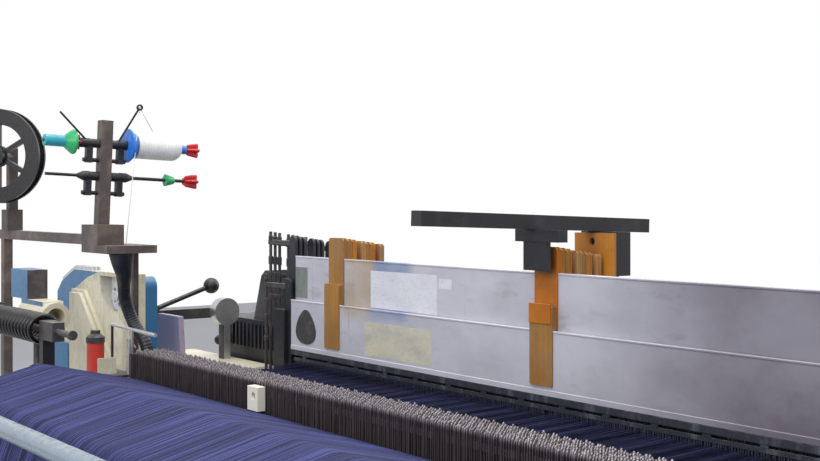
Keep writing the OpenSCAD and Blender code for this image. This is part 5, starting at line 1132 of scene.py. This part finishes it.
class LOOM_OT_housings(bpy.types.Operator):
    """Dresses the drive housings, the covers, the cabinet, the shed drive and the hand lever"""
    bl_idname = "loom.housings"
    bl_label = "Housings and covers"

    def lint_in_hollow(self):
        """Cotton lint on the hollow's back: a half disc whose depth is a sum of crossed sines, thin at its rim."""
        rows, columns = 34, 90
        angle = np.linspace(np.pi + 0.02, 2 * np.pi - 0.02, columns)[None, :]
        reach = np.linspace(0.002, 0.106, rows)[:, None]
        x, z = HOLLOW_X + reach * np.cos(angle), HOLLOW_Z + reach * np.sin(angle)
        swell = sum(np.sin(x * a + p) * np.sin(z * b + q)
                    for a, b, p, q in ((150, 170, 0.4, 1.0), (320, 290, 2.0, 0.3), (610, 560, 1.1, 2.2)))
        depth = (0.0045 + 0.0026 * np.clip(swell, -1.4, 1.6)) * np.clip((0.108 - reach) / 0.02, 0.15, 1)
        layers = [np.stack([x, y, z], -1).reshape(-1, 3) for y in (-0.0101 - depth, np.full_like(x, -0.0100))]
        put_mesh("cotton_lint_in_hollow", outward((np.concatenate(layers), shell_faces(rows, columns))),
                 paint("cotton_fluff"), ROOT)

    def execute(self, context):
        def in_hollow(x, y, z):
            return (np.hypot(x - HOLLOW_X, z - HOLLOW_Z) < 0.112) & (y > -0.049) & (y < 0.003) & (z < HOLLOW_Z + 0.0005)

        def on_slats(x, y, z):
            pitch, first, half_width = 0.013, 0.0105, 0.0027
            slat = abs((y - first + pitch / 2) % pitch - pitch / 2) < half_width
            return (z > 1.19) & (x < -1.83) & slat & (y > 0.007) & (y < 0.040)
        dressed("left_cream_casting", "left_drive_housing", "cream_enamel", "cream_paint", width=0.004,
                others=[("linty_hollow", in_hollow)], convex=True)
        dressed("right_cream_casting", "right_drive_housing", "cream_enamel", "cream_paint", width=0.008)
        dressed("rapier_covers", "rapier_housings", "cream_enamel", "cream_paint", width=0.012)
        dressed("blue_end_covers", "blue_covers", "blue_enamel", "blue_paint", width=0.002,
                others=[("white_slats", on_slats)])
        dressed("black_shed_drive", "shed_drive_housing", "black_enamel", "black_paint", width=0.003)
        dressed("right_cabinet", "control_cabinet", "cabinet_enamel", "cabinet_paint", width=0.006,
                others=[("black_enamel", lambda x, y, z: (y > 0.44) & (z > 1.02))])
        self.lint_in_hollow()
        dressed("turning_disc", "drive_disc", "bare_steel", "bare_steel", "drive_disc", 0.002)
        dressed("hand_lever", "ball_lever", "black_enamel", "dark_paint", "ball_lever", 0.001)
        dressed("hand_lever_stand", "lever_stand", "oiled_dark_metal", "dark_paint",
                others=[("purple_grey_cover", lambda x, y, z: (x > -1.613) & (y < 0.2)),
                        ("machined_alloy", lambda x, y, z: (y > 0.35) & (z > 1.1))])
        return {"FINISHED"}


class LOOM_OT_creel(bpy.types.Operator):
    """Dresses the creel and puts its packages, cones, clips and spool on their spindles"""
    bl_idname = "loom.creel"
    bl_label = "Creel and packages"

    def execute(self, context):
        axis = np.array([0, math.cos(BAR_LEAN), -math.sin(BAR_LEAN)])
        across = np.array([1.0, 0, 0])
        upright = np.cross(across, axis)
        upper, lower = (np.array([BAR_X, BAR_Y + (z - BAR_Z) * math.tan(BAR_LEAN), z]) for z in (1.690, 1.596))

        def off_bar(x, y, z):
            on_bar = (abs(x - BAR_X) < 0.0176) & (abs(y - BAR_Y - (z - BAR_Z) * math.tan(BAR_LEAN)) < 0.0178)
            return (x > -1.75) & (z > 1.5) & ~on_bar
        dressed("creel_stand", "creel_frame", "rust_brown_metal", "dark_paint", width=0.0012,
                others=[("black_enamel", off_bar)])

        along = np.linspace(0.0935, 0.2335, 70)
        taper = np.clip((along - 0.210) / 0.0235, 0, 1)
        windings = np.column_stack([along, 0.0355 - 0.0125 * taper ** 2 + 0.0004 * np.sin(along * 1300)])
        for name, spindle, finish, profile in (
                ("white_yarn_package", upper, wound_yarn("white_cotton", (0.86, 0.86, 0.85)), windings),
                ("blue_package_flange", upper, paint("blue_package_plastic"),
                 [(0.0665, 0.012), (0.0668, 0.046), (0.0685, 0.0495), (0.0725, 0.0495), (0.0745, 0.0465),
                  (0.0915, 0.034), (0.093, 0.031)]),
                ("blue_package_tube", upper, paint("blue_package_plastic"),
                 [(0.2340, 0.012), (0.2350, 0.013), (0.2550, 0.013), (0.2565, 0.0115)]),
                ("cyan_tube", upper, paint("cyan_tube_plastic"),
                 [(-0.179, 0.0145), (-0.178, 0.0165), (-0.1215, 0.0165), (-0.121, 0.015)]),
                ("green_cone_flange", upper, paint("green_cone_plastic"),
                 [(-0.121, 0.0155), (-0.1205, 0.017), (-0.099, 0.0335), (-0.0965, 0.035), (-0.0920, 0.035),
                  (-0.091, 0.032)]),
                ("green_small_cone", lower, paint("green_cone_plastic"),
                 [(0.192, 0.0165), (0.193, 0.018), (0.219, 0.0108), (0.221, 0.0095)])):
            piece = put_mesh(name, lathe(profile, spindle, axis, 64), finish, ROOT, "yarn_package", sharp=35)
            if name == "white_yarn_package":
                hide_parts("yarn_packages")

        cos, sin = circle(80)
        fingers = 0.0150 + 0.0055 * np.cos(5 * 2 * np.pi * np.arange(80) / 80)
        ring = fingers[:, None] * (cos[:, None] * across + sin[:, None] * upright)
        widths = np.array([0.70, 0.85, 1.0, 1.12, 1.0])[:, None, None]
        for name, spindle, at, length in (("upper_star_clip", upper, 0.2572, 0.0365),
                                          ("lower_star_clip", lower, 0.2542, 0.0395),
                                          ("inner_star_clip", upper, -0.0878, 0.0095)):
            level = (length * np.array([0, 0.1, 0.5, 0.93, 1.0]))[:, None, None]
            clip = outward(ring_form(spindle + (at + level) * axis + widths * ring[None]))
            put_mesh(name, clip, paint("red_clip_plastic"), ROOT, "yarn_package", sharp=35)

        dressed("spoked_spool", "flanged_spool", "black_spool_plastic", "black_plastic", "flanged_spool", 0.0025)
        thread = wound_yarn("selvedge_thread", (0.80, 0.80, 0.82))
        for name, *points in (("thread_to_drop_wires", (-1.214, -0.141, 1.46), (-1.229, -0.162, 1.19),
                               (-1.142, -0.150, 1.108)),
                              ("thread_to_package", (-1.222, -0.060, 1.730))):
            put_mesh(name, tube([THREAD_EYE, *points], 0.0013, 6, up=(1, 0, 0)), thread, ROOT, "yarn_package")
        return {"FINISHED"}


class LOOM_OT_small_units(bpy.types.Operator):
    """Dresses the lubricator and the weft feeder, and makes the ribbed hose"""
    bl_idname = "loom.small_units"
    bl_label = "Lubricator, feeder and hose"

    def hose(self):
        """The hose's corner points, smoothed by a running mean; its radius widens to a boot and has fine ribs."""
        route = np.array([(-1150, -190, 1378), (-1150, -188, 1350), (-1160, -178, 1318), (-1186, -166, 1284),
                          (-1206, -156, 1248), (-1212, -142, 1212), (-1208, -130, 1178), (-1194, -119, 1150),
                          (-1176, -111, 1130), (-1166, -106, 1112), (-1164, -104, 1092)]) / 1000
        length = distances(route)
        steps = np.linspace(0, length[-1], 240)
        path = np.column_stack([np.interp(steps, length, route[:, k]) for k in range(3)])
        reach = 12
        kernel = np.ones(2 * reach + 1) / (2 * reach + 1)
        inner = np.column_stack([np.convolve(np.pad(path[:, k], reach, mode="edge"), kernel, "valid")
                                 for k in range(3)])
        inner[0], inner[-1] = path[0], path[-1]
        boot = np.interp(inner[:, 2], [1.284, 1.318, 1.350, 1.378], [0, 0.004, 0.011, 0.017])
        ribs = 0.0004 * np.sin(2 * np.pi * steps / 0.009) * (boot < 0.001)
        hose = put_mesh("ribbed_hose", tube(inner, 0.0180 + boot + ribs, 20, up=(0, 1, 0)),
                        paint("ribbed_black_hose"), ROOT, "hose_rubber")
        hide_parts("suction_hose")

    def execute(self, context):
        shelf, feeder_foot, feeder_head = 1.0301, 1.131, 1.2225
        dressed("oil_can", "lubricator", "oiled_dark_metal", "red_can", width=0.0012, others=[
            ("red_can", lambda x, y, z: (np.hypot(x + 1.286, y + 0.21) < 0.0262) & (z > shelf) & (z < 1.1142)),
            ("terminal_box", lambda x, y, z: (abs(x + 1.215) < 0.0045) & (z > shelf)),
            ("machined_alloy", lambda x, y, z: (x > -1.19) & (z > shelf))])
        dressed("feeder_unit", "weft_feeder", "cream_enamel", "cream_paint", width=0.004, others=[
            ("blue_enamel", lambda x, y, z: z > feeder_head),
            ("oiled_dark_metal", lambda x, y, z: (z < feeder_foot) | ((z > feeder_head) & (x > -1.6213)))])
        self.hose()
        return {"FINISHED"}


STEPS = (LOOM_OT_stage, LOOM_OT_castings, LOOM_OT_rollers, LOOM_OT_wound_yarn, LOOM_OT_warp_sheet,
         LOOM_OT_drop_wires, LOOM_OT_heald_frames, LOOM_OT_shed_yarns, LOOM_OT_centre_guide, LOOM_OT_sley,
         LOOM_OT_cloth, LOOM_OT_spring, LOOM_OT_housings, LOOM_OT_creel, LOOM_OT_small_units)


class LOOM_PT_panel(bpy.types.Panel):
    """Lists the loom's steps and sizes"""
    bl_idname = "LOOM_PT_panel"
    bl_label = "Rapier loom"
    bl_space_type = "VIEW_3D"
    bl_region_type = "UI"
    bl_category = "Loom"

    def draw(self, context):
        for step in STEPS:
            self.layout.operator(step.bl_idname)
        for name in LoomSettings.__annotations__:
            self.layout.prop(context.scene.loom, name)


CLASSES = (LoomSettings, *STEPS, LOOM_PT_panel)


def register():
    for one in CLASSES:
        bpy.utils.register_class(one)
    bpy.types.Scene.loom = PointerProperty(type=LoomSettings)


def unregister():
    del bpy.types.Scene.loom
    for one in reversed(CLASSES):
        bpy.utils.unregister_class(one)


def main():
    register()
    for step in STEPS:
        group, call = step.bl_idname.split(".")
        getattr(getattr(bpy.ops, group), call)()


if __name__ == "__main__":
    main()
